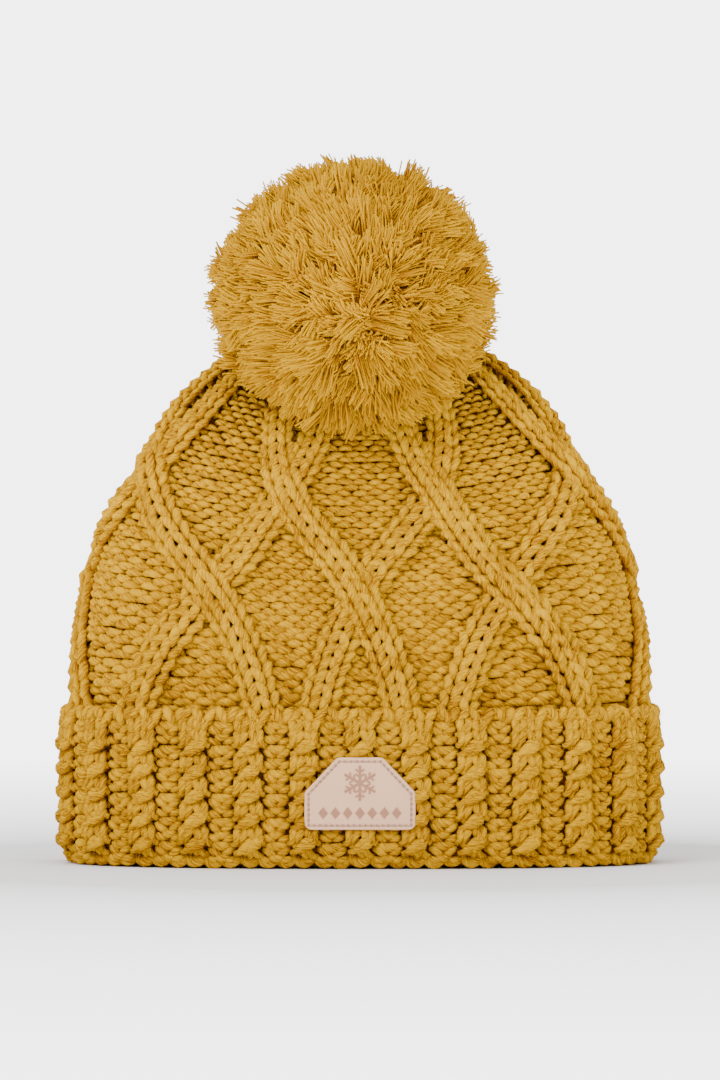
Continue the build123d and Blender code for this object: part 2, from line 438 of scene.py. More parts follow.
def tube_piece(name, centres, outward, radius, sides, tone, material, flatten=1.0, **more):
    """Closed round tubes as one piece, each with a flat face at both ends.

    UV is the length along the tube in millimetres and the share round it. The attribute tone
    is one random number a tube.
    """
    rings = tube_rings(centres, outward, radius, sides, flatten)
    lines, steps = centres.shape[:2]
    line, step, turn = np.meshgrid(
        np.arange(lines), np.arange(steps - 1), np.arange(sides), indexing="ij"
    )
    after = (turn + 1) % sides
    base = line * steps * sides + step * sides
    quads = np.stack(
        [base + turn, base + sides + turn, base + sides + after, base + after], axis=-1
    )
    first = (np.arange(lines) * steps * sides)[:, None]
    start_caps = first + np.arange(sides)[None, :]
    end_caps = first + (steps - 1) * sides + np.arange(sides)[None, ::-1]
    corners = np.concatenate([quads.ravel(), start_caps.ravel(), end_caps.ravel()])
    counts = np.concatenate([np.full(quads.size // 4, 4), np.full(2 * lines, sides)])
    piece = new_piece(name, rings.reshape(-1, 3), counts, corners, material, **more)
    length = np.concatenate(
        [
            np.zeros((lines, 1)),
            np.cumsum(np.linalg.norm(np.diff(centres, axis=1), axis=-1), axis=1),
        ],
        axis=1,
    )
    u0, u1 = length[line, step], length[line, step + 1]
    v0, v1 = turn / sides, (turn + 1) / sides
    walls = np.stack(
        [np.stack([u0, u1, u1, u0], axis=-1), np.stack([v0, v0, v1, v1], axis=-1)], axis=-1
    )
    caps = np.zeros((2 * lines * sides, 2))
    caps[lines * sides :, 0] = np.repeat(length[:, -1], sides)
    set_uv(piece, np.concatenate([walls.reshape(-1, 2), caps]))
    set_attribute(piece, "tone", np.repeat(tone, steps * sides))
    return piece


def loop_shape(steps, start):
    """One knitted loop, as shares of its width, reach and depth.

    For t over a full turn from start: across is t/2pi and its swell sin 2t, along is cos t,
    and out is cos 2t. The loop's head is at t = 0 and its feet are at t = -pi and pi.
    """
    t = start + np.linspace(0, TAU, steps + 1)
    return t / TAU, np.sin(2 * t), np.cos(t), np.cos(2 * t)


# ---------------------------------------------------------------- materials


class Socket:
    """A shader socket whose arithmetic adds Math nodes."""

    def __init__(self, finish, socket):
        self.finish = finish
        self.socket = socket

    def _math(self, operation, first, second):
        return self.finish.node("ShaderNodeMath", {"operation": operation}, {0: first, 1: second})

    def __add__(self, other):
        return self._math("ADD", self, other)

    __radd__ = __add__

    def __sub__(self, other):
        return self._math("SUBTRACT", self, other)

    def __rsub__(self, other):
        return self._math("SUBTRACT", other, self)

    def __mul__(self, other):
        return self._math("MULTIPLY", self, other)

    __rmul__ = __mul__

    def __truediv__(self, other):
        return self._math("DIVIDE", self, other)

    def __pow__(self, other):
        return self._math("POWER", self, other)

    def clamp(self):
        return self._math("MINIMUM", self._math("MAXIMUM", self, 0.0), 1.0)

    def sine(self):
        return self._math("SINE", self, 0.0)

    def cosine(self):
        return self._math("COSINE", self, 0.0)


class Finish:
    """A material, with one method that adds any node."""

    def __init__(self, name, **constants):
        self.material = bpy.data.materials.new(name)
        self.material.use_nodes = True
        self.tree = self.material.node_tree
        self.shader = self.tree.nodes["Principled BSDF"]
        for socket, value in constants.items():
            self.shader.inputs[socket.replace("_", " ")].default_value = value

    def node(self, kind, settings=None, sockets=None, output=0):
        """Adds a node, sets its settings, then its sockets' values or links."""
        node = self.tree.nodes.new(kind)
        for name, value in (settings or {}).items():
            if name == "stops":
                self._set_stops(node.color_ramp, value)
            else:
                setattr(node, name, value)
        for name, value in (sockets or {}).items():
            if isinstance(value, Socket):
                self.tree.links.new(value.socket, node.inputs[name])
            else:
                node.inputs[name].default_value = value
        return Socket(self, node.outputs[output])

    @staticmethod
    def _set_stops(ramp, stops):
        while len(ramp.elements) < len(stops):
            ramp.elements.new(0.5)
        for element, (position, colour) in zip(ramp.elements, stops):
            element.position = position
            element.color = (*colour, 1.0)

    def drive(self, **links):
        """Links sockets of the shader."""
        for name, value in links.items():
            self.tree.links.new(value.socket, self.shader.inputs[name.replace("_", " ")])
        return self.material

    def attribute(self, name):
        return self.node("ShaderNodeAttribute", {"attribute_name": name}, output=2)

    def uv(self):
        """The two UV numbers."""
        vector = self.node("ShaderNodeTexCoord", output=2)
        split = self.node("ShaderNodeSeparateXYZ", None, {0: vector})
        return split, Socket(self, split.socket.node.outputs[1])

    def vector(self, x, y, z):
        return self.node("ShaderNodeCombineXYZ", None, {0: x, 1: y, 2: z})

    def object_point(self):
        return self.node("ShaderNodeTexCoord", output=3)

    def noise(self, vector, scale, detail=2.0, roughness=0.5):
        return self.node(
            "ShaderNodeTexNoise",
            None,
            {"Vector": vector, "Scale": scale, "Detail": detail, "Roughness": roughness},
        )

    def mix(self, factor, first, second):
        """Colour mix of two colours or sockets."""
        return self.node(
            "ShaderNodeMix",
            {"data_type": "RGBA"},
            {0: factor, 6: _colour(first), 7: _colour(second)},
            output=2,
        )

    def bump(self, height, strength, distance):
        return self.node(
            "ShaderNodeBump", None, {"Height": height, "Strength": strength, "Distance": distance}
        )


def _colour(value):
    return value if isinstance(value, Socket) else (*value[:3], 1.0)


def yarn_finish(name, light, dark, twist=0.55):
    """Soft plied yarn: fibre streaks wind round the strand, with painted highlights where they
    stand up and painted shade between them, and painted light on the side of the strand that
    faces outwards, painted shade on its hidden side.

    The streaks are noise on a point that goes round a circle with the strand's own angle plus
    twist times its length, so they close across the UV seam.
    """
    finish = Finish(name, Roughness=0.85, Specular_IOR_Level=0.05)
    streaks = 2.9
    along, share = finish.uv()
    tone = finish.attribute("tone")
    angle = share * TAU + along * twist + tone * 40.0
    ring = finish.vector(angle.cosine() * streaks, angle.sine() * streaks, along * 0.35 + tone * 60.0)
    fibres = finish.noise(ring, 1.0, 4.0, 0.62)
    ply = (angle * 2.0).sine() * 0.5 + 0.5
    mottle = finish.noise(finish.object_point(), 55.0, 2.0)
    # Painted highlight on the raised fibres and painted shade between them; tone and mottle are the yarn's
    # own random tone.
    level = (fibres - 0.5) * 3.6 + (tone - 0.5) * 0.3 + (mottle - 0.5) * 0.6 + 0.34
    # Painted light on the strand's outward side and painted shade on its hidden side, where the UV seam
    # lies.
    level = level - (share * TAU).cosine() * 0.32
    colour = finish.mix(level.clamp(), dark, light)
    height = fibres * 0.75 + ply * 0.4
    return finish.drive(Base_Color=colour, Normal=finish.bump(height, 1.0, 0.0010))


def shaded_depths_finish(name, yarn):
    """Knit seen between the loops, in painted shade: darker copies of the yarn's dark colour."""
    finish = Finish(name, Roughness=1.0, Specular_IOR_Level=0.0)
    mottle = finish.noise(finish.object_point(), 260.0, 3.0)
    # Painted shade: 0.4 to 0.9 of the yarn's dark colour, mottled.
    shade = finish.mix(mottle, [0.4 * c for c in yarn.dark], [0.9 * c for c in yarn.dark])
    return finish.drive(Base_Color=shade)


def pom_finish(pom):
    """Cut yarn: painted shade, deep orange, at the root deep in the ball and painted light, pale, at the
    end, each yarn its own tone.
    """
    finish = Finish("pom_yarn", Roughness=0.85, Specular_IOR_Level=0.05)
    reach = finish.attribute("reach")
    tone = finish.attribute("tone")
    # Painted shade towards the root and painted light towards the tip; tone is each yarn's own random
    # tone.
    level = (reach - 0.68) * 2.6 + (tone - 0.5) * 0.9
    return finish.drive(Base_Color=finish.mix(level.clamp(), pom.root, pom.tip))


def shaded_pom_core_finish(pom):
    """Yarn in the middle of the pom pom, mottled and darkened as painted shade."""
    finish = Finish("pom_core", Roughness=1.0, Specular_IOR_Level=0.0)
    speck = finish.noise(finish.object_point(), 500.0, 2.0)
    # Painted shade: 0.3 to 1 of the root colour.
    return finish.drive(Base_Color=finish.mix(speck, [0.3 * c for c in pom.root], pom.root))


def leather_finish(patch):
    """Pale leather with fine grain, darker where the motif is pressed, and painted shade in the stitch
    holes.
    """
    finish = Finish("patch_leather", Specular_IOR_Level=0.35)
    point = finish.object_point()
    grain = finish.noise(point, 900.0, 4.0, 0.6)
    cloud = finish.noise(point, 90.0, 3.0)
    motif, hole, edge = (finish.attribute(name) for name in ("motif", "hole", "edge"))
    base = finish.mix(cloud, patch.leather, [0.88 * c for c in patch.leather])
    base = finish.mix((edge * 0.35).clamp(), base, [0.7 * c for c in patch.leather])
    base = finish.mix((motif * (0.75 + grain * 0.25)).clamp(), base, patch.pressed)
    # Painted shade in the stitch holes: nearly black.
    base = finish.mix((hole * 0.9).clamp(), base, (0.09, 0.04, 0.025))
    return finish.drive(
        Base_Color=base,
        Roughness=0.62 + motif * 0.12 + (grain - 0.5) * 0.2,
        Normal=finish.bump(grain, 0.35, 0.0003),
    )


def thread_finish(name, colour):
    """Sewing thread, with one ply that winds round it."""
    finish = Finish(name, Roughness=0.7, Sheen_Weight=0.1, Specular_IOR_Level=0.3)
    along, share = finish.uv()
    ply = (share * TAU + along * 5.0).sine() * 0.5 + 0.5
    shade = finish.mix(ply, [0.6 * c for c in colour], colour)
    return finish.drive(Base_Color=shade, Normal=finish.bump(ply, 0.5, 0.0002))


def fleece_finish():
    """Brushed fleece in the hat's own ochre."""
    finish = Finish("ochre_fleece", Roughness=0.95, Sheen_Weight=0.5, Specular_IOR_Level=0.1)
    point = finish.object_point()
    wool = finish.noise(point, 420.0, 6.0, 0.7)
    clump = finish.noise(point, 110.0, 3.0)
    level = ((wool - 0.5) * 1.4 + (clump - 0.5) * 0.8 + 0.5).clamp()
    shade = finish.mix(level, (0.42, 0.19, 0.02), (0.72, 0.40, 0.07))
    return finish.drive(Base_Color=shade, Normal=finish.bump(wool + clump * 0.6, 0.8, 0.0012))


def label_finish():
    """White woven tape, left blank."""
    finish = Finish("label_tape", Roughness=0.55, Specular_IOR_Level=0.35)
    x = finish.node("ShaderNodeSeparateXYZ", None, {0: finish.object_point()})
    z = Socket(finish, x.socket.node.outputs[2])
    weave = (x * 9000.0).sine() * (z * 9000.0).sine() * 0.5 + 0.5
    shade = finish.mix(weave, (0.72, 0.71, 0.68), (0.83, 0.82, 0.80))
    return finish.drive(Base_Color=shade, Normal=finish.bump(weave, 0.2, 0.0001))


# ---------------------------------------------------------------- crown


def cable_course(row):
    """How far a cable has travelled from its crossing, as a share of the girth, and its slope.

    The course is an S curve, offset + amplitude tanh((row - middle) / stretch), set so that
    a cable is on its own crossing at the lower ring and half way to the next at the upper one.
    """
    offset, amplitude = 0.0215, 0.075
    low = math.atanh(-offset / amplitude)
    high = math.atanh((0.5 / CROSSINGS_ROUND - offset) / amplitude)
    stretch = (UPPER_CROSSING - LOWER_CROSSING) / (high - low)
    middle = LOWER_CROSSING - low * stretch
    bend = np.tanh((row - middle) / stretch)
    return offset + amplitude * bend, amplitude * (1 - bend**2) / stretch


def cable_distance(turn, row):
    """Distance in millimetres from each place to the middle of the nearest cable."""
    course, _ = cable_course(row)
    share = spread(turn, row)
    girth = CROWN.girth(GRID.height(share, row))
    nearest = np.full(turn.shape, np.inf)
    for crossing in range(CROSSINGS_ROUND):
        for way in (1, -1):
            middle = spread(crossing / CROSSINGS_ROUND + way * course, row)
            gap = np.mod(share - middle + 0.5, 1.0) - 0.5
            nearest = np.minimum(nearest, np.abs(gap) * girth)
    return nearest


def ground_bows(rng, first_row, last_row, steps=7):
    """Paths of the crown's purl bumps: a head and a foot for each stitch, laid like bricks.

    Each bow is a parabola, bent up for a head and down for a foot, whose ends dive behind its
    neighbours. Bows beside a cable sink under its edge, and the cables narrow with the girth.
    """
    rows, wales, half = np.meshgrid(
        np.arange(first_row, last_row), np.arange(WALES), np.array([0.0, 0.5]), indexing="ij"
    )
    rows = (rows + 1.14 * half).ravel()
    turn = (wales + half).ravel() / WALES
    bend = np.where(half.ravel() > 0, -1.0, 1.0)
    girth = CROWN.girth(GRID.height(turn, rows))
    distance = cable_distance(turn, rows) / np.clip(girth / FULL_GIRTH, 0.4, 1.0)
    keep = distance > 5.0
    rows, turn, bend, distance = rows[keep], turn[keep], bend[keep], distance[keep]
    jitter = rng.normal(0, 1, (5, len(rows)))[..., None]
    t = np.linspace(-1, 1, steps)[None, :]
    half_width = 0.56 * (1 + 0.06 * jitter[0])
    turns = turn[:, None] + (half_width * t + 0.03 * jitter[1]) / WALES
    tilt = 0.035 * jitter[2] * t
    path_rows = rows[:, None] + 0.15 * bend[:, None] * (0.5 - t**2) + 0.045 * jitter[3] + tilt
    sink = -1.55 - 2.2 * np.clip((10.0 - distance) / 5.0, 0, 1) ** 1.5
    lift = sink[:, None] + 0.15 * jitter[4] - 2.8 * t**2
    points, normals = on_crown(spread(turns, path_rows), path_rows, lift)
    pitch = CROWN.girth(points[..., 2]) / WALES
    scale = np.clip(pitch / FULL_PITCH, 0.4, 1.1) ** 0.7
    tall = GRID.height(turn, rows + 0.5) - GRID.height(turn, rows - 0.5)
    scale = scale * np.clip(tall / 4.4, 0.88, 1.25)[:, None]
    return points, normals, scale * (1.08 - 0.45 * t**2)


def cable_loops(way, rng, steps=9):
    """Paths of the V loops of the cables that lean one way, two wales wide.

    Each loop stands along its cable's own course, and the whole cable rises over the ground:
    higher where it passes over a crossing, lower where it passes under.
    """
    across, swell, along, out = loop_shape(steps, -math.pi)
    rows = np.arange(1, ROWS - 2).astype(float)
    crossing, row, wale = np.meshgrid(
        np.arange(CROSSINGS_ROUND), rows, np.array([-0.5, 0.5]), indexing="ij"
    )
    crossing, row, wale = crossing.ravel(), row.ravel(), wale.ravel()
    over = way < 0
    gap = np.minimum(np.abs(row - LOWER_CROSSING), np.abs(row - UPPER_CROSSING))
    if not over:
        keep = gap > 0.9
        crossing, row, wale, gap = crossing[keep], row[keep], wale[keep], gap[keep]
    near = np.exp(-((gap / 1.3) ** 2))
    jitter = rng.normal(0, 1, (3, len(row)))
    reach = 0.78 * (1 + (0.45 * near if over else 0.0)) + 0.03 * jitter[0]
    path_row = row[:, None] + reach[:, None] * along
    course, slope = cable_course(path_row)
    middle = spread(crossing[:, None] / CROSSINGS_ROUND + way * course, path_row)
    before = spread(crossing[:, None] / CROSSINGS_ROUND + way * (course - 0.5 * slope), path_row - 0.5)
    girth = CROWN.girth(GRID.height(middle, path_row))
    pitch = 4.75
    lean = np.arctan2(2 * (middle - before) * girth, pitch)
    wale_width = 7.5 * np.clip(girth / FULL_GIRTH, 0.45, 1.0) * (1 + 0.03 * jitter[1][:, None])
    aside = wale_width * (wale[:, None] + across + 0.25 * swell)
    shares = middle + aside * np.cos(lean) / girth
    path_rows = path_row - aside * np.sin(lean) / pitch
    rise = 1.3 + (2.2 if over else -1.6) * near + 0.12 * jitter[2]
    crown_of_band = 0.9 * (1 - (2 * (wale[:, None] + across)) ** 2)
    lift = rise[:, None] - 1.45 * out + crown_of_band
    points, normals = on_crown(shares, path_rows, lift)
    return points, normals, np.clip(wale_width / 7.7, 0.4, 1.0) * np.ones_like(lift), out


class BEANIE_OT_ground(bpy.types.Operator):
    """Knit the crown's reverse stocking-stitch ground"""

    bl_idname = "beanie.ground"
    bl_label = "Crown ground"

    def execute(self, context):
        yarn = context.scene.beanie_yarn
        rng = np.random.default_rng(11)
        finish = yarn_finish("ochre_yarn_ground", yarn.light, yarn.dark)
        for name, first, last in (("crown_ground_lower", 0, 14), ("crown_ground_upper", 14, ROWS)):
            points, normals, scale = ground_bows(rng, first, last)
            radius = yarn.ground_radius / MM * scale
            tone = rng.random(len(points))
            tube_piece(name, points, normals, radius, 6, tone, finish, slot="knit")
        return {"FINISHED"}


class BEANIE_OT_cables(bpy.types.Operator):
    """Knit the travelling cables that cross over the crown"""

    bl_idname = "beanie.cables"
    bl_label = "Crossing cables"

    def execute(self, context):
        yarn = context.scene.beanie_yarn
        rng = np.random.default_rng(12)
        finish = yarn_finish("ochre_yarn_cable", yarn.light, yarn.dark)
        for name, way in (("cables_rising_right", 1), ("cables_rising_left", -1)):
            points, normals, scale, out = cable_loops(way, rng)
            radius = yarn.cable_radius / MM * scale * (1 - 0.2 * out)
            tone = rng.random(len(points))
            tube_piece(name, points, normals, radius, 6, tone, finish, slot="knit")
        return {"FINISHED"}


class BEANIE_OT_backing(bpy.types.Operator):
    """Fill in the knit behind the loops, outside and in"""

    bl_idname = "beanie.backing"
    bl_label = "Knit backing"

    def execute(self, context):
        # The backing shell is coloured in painted shade.
        material = shaded_depths_finish("crown_depths_shade", context.scene.beanie_yarn)
        turn = np.arange(160) / 160
        rows = np.linspace(0, ROWS, 60)
        outer, normal = on_crown(turn[None, :], rows[:, None], np.full((60, 160), -4.2))
        inner = outer - normal * 1.4
        shell = np.concatenate([inner[::-1], outer])
        piece = ring_piece("crown_backing", shell, material, slot="knit")
        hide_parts("crown_body")
        return {"FINISHED"}


def inner_legs(rng, steps=4):
    """Paths of the stocking stitches on the crown's inner face, two legs to a stitch.

    A leg leaves the middle of its wale, bows into the hat by half a sine and ends at the
    wale's edge one row higher.
    """
    rows, wales, side = np.meshgrid(
        np.arange(ROWS - 1), np.arange(WALES), np.array([-1.0, 1.0]), indexing="ij"
    )
    rows, wales, side = rows.ravel(), wales.ravel(), side.ravel()
    s = np.linspace(0, 1, steps)[None, :]
    jitter = rng.normal(0, 0.03, (2, len(rows), 1))
    turns = (wales[:, None] + 0.5 + side[:, None] * (0.1 + 0.36 * s) + jitter[0]) / WALES
    path_rows = rows[:, None] + 1.2 * s + jitter[1]
    lift = -5.5 - 0.8 * np.sin(math.pi * s) + 0 * turns
    points, normals = on_crown(spread(turns, path_rows), path_rows, lift)
    scale = np.clip(CROWN.girth(points[..., 2]) / WALES / FULL_PITCH, 0.4, 1.1) ** 0.7
    return points, normals, scale * (1 - 0.2 * (2 * s - 1) ** 2)


class BEANIE_OT_inside(bpy.types.Operator):
    """Knit the smooth stitches of the crown's inner face and sew the seam up its back"""

    bl_idname = "beanie.inside"
    bl_label = "Inner face and back seam"

    def execute(self, context):
        yarn = context.scene.beanie_yarn
        rng = np.random.default_rng(17)
        finish = yarn_finish("ochre_yarn_inside", yarn.light, yarn.dark)
        points, normals, scale = inner_legs(rng)
        radius = yarn.ground_radius / MM * scale
        tone = rng.random(len(points))
        tube_piece("crown_inner_stitches", points, -normals, radius, 5, tone, finish, slot="knit")
        first, last = GRID.row_at(0.5, DOME_START), GRID.row_at(0.5, CROWN_HIGH[2] - 10.0)
        rows = np.arange(first + 0.3, last, 0.55)[:, None]
        t = np.linspace(-1, 1, 6)[None, :]
        path_rows = rows + 0.3 * t
        girth = CROWN.girth(GRID.height(0.5, path_rows))
        points, normals = on_crown(0.5 + 1.7 * t / girth, path_rows, -7.2 - 0.7 * (1 - t**2) + 0 * rows)
        seam = tube_piece(
            "back_seam_stitches", points, -normals, np.full(points.shape[:2], 0.9), 8,
            rng.random(len(points)), finish, slot="yarn",
        )
        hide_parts("back_seam_yarn")
        return {"FINISHED"}


# ---------------------------------------------------------------- brim

# Paths in one repeat of the brim's pattern: across from the middle of the cable, up the face,
# and out from it, in millimetres, with a radius.


def bump_path(start, middle, end, depth, radius, steps=7):
    """A strand's bow: a parabola through three points that dives into the knit at both ends."""
    t = np.linspace(-1, 1, steps)
    start, middle, end = (np.array(p, dtype=float) for p in (start, middle, end))
    flat = (
        middle * (1 - t**2)[:, None]
        + (start * ((t**2 - t) / 2)[:, None])
        + (end * ((t**2 + t) / 2)[:, None])
    )
    out = -depth * t**2
    return flat[:, 0], flat[:, 1], out, radius * (1 - 0.22 * t**2)


def leaning_loop(width, reach, shear, lift, radius, growth, steps=9):
    """A knitted loop whose head leans sideways by shear times its height."""
    across, swell, along, out = loop_shape(steps, -math.pi)
    x = width * (across + 0.2 * swell) + shear * along
    return x, reach * along, lift - 1.15 * out, radius * (1 + growth * along - 0.08 * out)


def brim_pattern():
    """(path, place across, place up) of every strand of one repeat, in millimetres."""
    strands = []
    for twist in range(TWISTS):
        y = FIRST_TWIST + twist * TWIST_PITCH
        strands += [
            (leaning_loop(3.9, 2.6, 3.5, 2.0, 2.0, 0.32), 0.2, y),
            (leaning_loop(5.6, 3.4, -2.9, -0.6, 1.6, 0.0), 0.0, y - 0.6),
            (leaning_loop(5.0, 3.3, 0.8, 0.9, 1.7, 0.1), -3.1, y + 4.4),
            (leaning_loop(4.8, 3.3, -0.9, 0.9, 1.7, 0.1), 3.2, y + 4.8),
        ]
    top = FIRST_TWIST + TWISTS * TWIST_PITCH
    for x in (-3.0, 3.1):
        strands.append((leaning_loop(5.5, 3.2, 0.2, 0.5, 1.75, 0.1), x, top - 0.6))
    for course in range(TWISTS + 1):
        y = FIRST_TWIST + course * TWIST_PITCH
        strands += [
            (bump_path((-4.6, 0.5), (0.3, -0.6), (4.6, 0.7), 2.8, 2.05), 11.25, y + 0.5),
            (bump_path((-5.2, 1.5), (-2.9, -0.1), (-0.2, -1.3), 2.4, 1.75), 11.25, y - 2.0),
            (bump_path((5.2, 1.5), (2.9, -0.1), (0.2, -1.3), 2.4, 1.75), 11.25, y - 2.0),
            (bump_path((-3.2, 1.0), (0, -0.8), (3.2, 1.0), 2.6, 1.8), 11.25, y - 4.3),
            (bump_path((-5.4, 0.8), (-3.4, 0.2), (-0.6, -0.9), 2.2, 1.6), 11.25, y - 6.5),
            (bump_path((5.4, 0.8), (3.4, 0.2), (0.6, -0.9), 2.2, 1.6), 11.25, y - 6.5),
        ]
    return strands


def brim_edges():
    """The strands that hook over the top edge and the barrels along the lower one."""
    strands = []
    top = BRIM_TOP - BRIM_ROLL
    t = np.linspace(-1, 1, 7)
    hooks = ((-3.6, 2.6, 0.0), (1.2, -2.2, 0.6), (6.4, 2.4, -0.8), (11.6, -2.5, 0.4), (16.0, 1.6, 0.9))
    for x, lean, rise in hooks:
        hook = (lean * (t + 0.3), t * 5.4, 0.9 - 1.5 * t**2, 2.1 - 0.45 * t**2 - 0.25 * t)
        strands.append((hook, x, top + 3.6 + rise))
    strands.append((bump_path((-3.2, 0.5), (0, -0.6), (3.2, 0.5), 1.6, 1.9), 11.25, top + 1.9))
    strands.append((bump_path((-2.4, 0.5), (0, -0.6), (2.4, 0.5), 1.6, 1.6), 0.2, top + 0.6))
    for x in (-1.2, 4.0, 9.2, 14.2):
        strands.append((bump_path((-2.6, 0.2), (0, 1.0), (2.6, 0.2), 1.4, 1.7), x, top + 8.4))
    for x in (0.0, 7.5, 15.0):
        for y, size in ((0.0, 2.7), (-5.4, 2.2), (-10.4, 2.2), (-15.4, 2.2)):
            strands.append((bump_path((-3.6, 0.5), (0, -0.3), (3.6, 0.5), 2.6, size), x - 0.6 * y, y))
    return strands


def stamp_strands(strands, rng, round_count, wobble):
    """Repeats strands round the brim; returns points, normals, radii, by number of steps."""
    groups = {}
    pitch = BRIM.girth(np.zeros(1))[0] / round_count
    for (x, y, out, radius), across, up in strands:
        start = np.arange(round_count) * pitch + across
        shift = rng.normal(0, wobble, (3, round_count))
        swell = 1 + rng.normal(0, 0.05, round_count)
        xs = start[:, None] + shift[0][:, None] + x[None, :] * swell[:, None]
        ys = up + shift[1][:, None] + y[None, :] * swell[:, None]
        lift = -2.4 + out[None, :] + 0.5 * shift[2][:, None]
        turns = xs / (pitch * round_count)
        radii = np.broadcast_to(radius, xs.shape) * (0.5 + 0.5 * swell)[:, None]
        reach = ys + BRIM_FACE_START
        flat, _ = on_brim(turns, reach, np.zeros_like(lift))
        covered = outline_distance(flat[..., 0], flat[..., 2] - PATCH_LOW[2], patch_corners(-0.8))
        covered = (covered > 0) & (flat[..., 1] < 0)
        lift = np.where(covered, np.minimum(lift, -radii - 0.1), lift)
        points, normals = on_brim(turns, reach, lift)
        groups.setdefault(len(x), []).append((points, normals, radii))
    return [tuple(np.concatenate(part) for part in zip(*group)) for group in groups.values()]


class BEANIE_OT_brim(bpy.types.Operator):
    """Knit the turned-up brim's twists, purl columns and edges"""

    bl_idname = "beanie.brim"
    bl_label = "Turned-up brim"

    def execute(self, context):
        yarn = context.scene.beanie_yarn
        rng = np.random.default_rng(13)
        finish = yarn_finish("ochre_yarn_brim", yarn.light, yarn.dark)
        size = yarn.brim_radius / MM / DRAWN_BRIM_RADIUS
        parts = (("brim_face", brim_pattern(), 0.2), ("brim_edge", brim_edges(), 0.3))
        for name, strands, wobble in parts:
            groups = stamp_strands(strands, rng, BRIM_REPEATS, wobble)
            for number, (points, normals, radii) in enumerate(groups, 1):
                tone = rng.random(len(points))
                piece = tube_piece(
                    f"{name}_{number}", points, normals, radii * size, 6, tone, finish, slot="knit"
                )
                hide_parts("turned_up_brim")
        turn = np.arange(300) / 300
        reach = np.concatenate(
            [np.linspace(-14.4, 7.2, 13), np.linspace(9.0, 61.0, 10), np.linspace(63, 77, 9)]
        )
        lift = np.full((len(reach), 300), -4.4)
        skin, _ = on_brim(turn[None, :], reach[:, None], lift)
        # The brim's backing is coloured in painted shade.
        ring_piece("brim_backing", skin, shaded_depths_finish("brim_depths_shade", yarn), slot="knit")
        return {"FINISHED"}


# ---------------------------------------------------------------- pom pom


def wedge_room(points):
    """How far points are inside the room that the crown takes out of the pom pom, in mm.

    The room lies behind a front that follows the crown's front and under a roof that rises
    towards the back.
    """
    x, y, z = points[..., 0], points[..., 1], points[..., 2]
    roof = TIE_POINT[2] + 8.0 + np.clip(y - 12.0, 0, None) * math.tan(math.radians(25))
    _, depth = CROWN.half_sizes(np.clip(z - 7.9, 62.0, 217.0))
    return np.minimum(roof - z, y + depth + 6.0)


def even_directions(count):
    """Directions spread evenly over a ball, along a golden spiral about Y."""
    spot = np.arange(count) + 0.5
    height = 1 - 2 * spot / count
    around = spot * math.pi * (1 + 5**0.5)
    flat = np.sqrt(1 - height**2)
    return np.stack([flat * np.cos(around), height, flat * np.sin(around)], axis=-1)


def pom_strands(count, plies, rng):
    """Paths of the pom pom's plies, where each point is along its strand, and its yarn and lock.

    Yarn ends are spread evenly over the ball and lean together into locks. Each runs from the
    core to its end in a bow that is swept away from the parting, and its plies fan out by a
    few degrees towards the end.
    """
    steps = 6
    ends = even_directions(count)
    ends = unit(ends + rng.normal(0, 0.02, ends.shape))
    locks = even_directions(count // POM_YARNS_IN_LOCK)
    locks = unit(locks + rng.normal(0, 0.03, locks.shape))
    lock = np.concatenate([(part @ locks.T).argmax(axis=1) for part in np.array_split(ends, 20)])
    parting = unit(np.array([0.10, -1.0, -0.16]))
    from_parting = np.arccos(np.clip(ends @ parting, -1, 1))
    away = unit(ends * np.cos(from_parting)[:, None] - parting)
    tangent = unit(away - ends * np.sum(away * ends, axis=-1, keepdims=True))
    sweep = 0.62 * np.tanh(from_parting / 0.5) * (1 - 0.5 * from_parting / math.pi)
    sweep = sweep + rng.normal(0, 0.10, len(locks))[lock] + rng.normal(0, 0.05, count)
    turn_aside = rng.normal(0, 0.10, len(locks))[lock] + rng.normal(0, 0.05, count)
    tip = unit(ends + 0.42 * (locks[lock] - ends))
    across = np.cross(ends, tangent)
    root = unit(ends - tangent * np.clip(sweep, -0.15, 0.95)[:, None] - across * turn_aside[:, None])
    length = 1 + rng.normal(0, 0.030, len(locks))[lock] + rng.normal(0, 0.022, count)
    s = np.linspace(0, 1, steps)
    mix = (s**1.35)[None, :, None]
    bow = 0.07 * rng.normal(0, 1, locks.shape)[lock][:, None, :] * np.sin(math.pi * s)[None, :, None]
    line = unit(root[:, None, :] * (1 - mix) + tip[:, None, :] * mix + bow)
    out = 0.5 + (length - 0.5)[:, None] * (s**0.8)[None, :]
    line = np.repeat(line, plies, axis=0)
    out = np.repeat(out, plies, axis=0)
    fan = rng.normal(0, 1, (count * plies, 1, 3)) * (0.010 + 0.016 * s[None, :, None] ** 2)
    curl = rng.normal(0, 0.006, (count * plies, steps, 3))
    line = unit(line + fan + curl)
    out = out * (1 + rng.normal(0, 0.014, (count * plies, 1)) * s[None, :])
    radius = 0.955 * (POM_HIGH[0] - POM_LOW[0]) / 2
    points = POM_MIDDLE + line * (out * radius)[..., None]
    points[..., 2] -= 4.0 * (s[None, :] ** 2) * np.clip(-line[..., 1], 0, 1)
    return points, np.broadcast_to(s, out.shape), np.repeat(np.arange(count), plies), lock


def keep_clear(points, along):
    """Drops the strands that start in the crown's room and stops the others short of it."""
    inside = wedge_room(points) > 0
    first = np.where(inside.any(axis=1), inside.argmax(axis=1), points.shape[1])
    keep = ~inside[:, 0] & (first >= 3)
    points, first = points[keep], first[keep]
    last = np.minimum(first, points.shape[1]) - 1
    share = last / (points.shape[1] - 1)
    s = np.linspace(0, 1, points.shape[1])[None, :] * share[:, None] * (points.shape[1] - 1)
    i = np.minimum(s.astype(int), points.shape[1] - 2)
    part = (s - i)[..., None]
    rows = np.arange(len(points))[:, None]
    points = points[rows, i] * (1 - part) + points[rows, i + 1] * part
    return points, along[keep] * share[:, None], keep


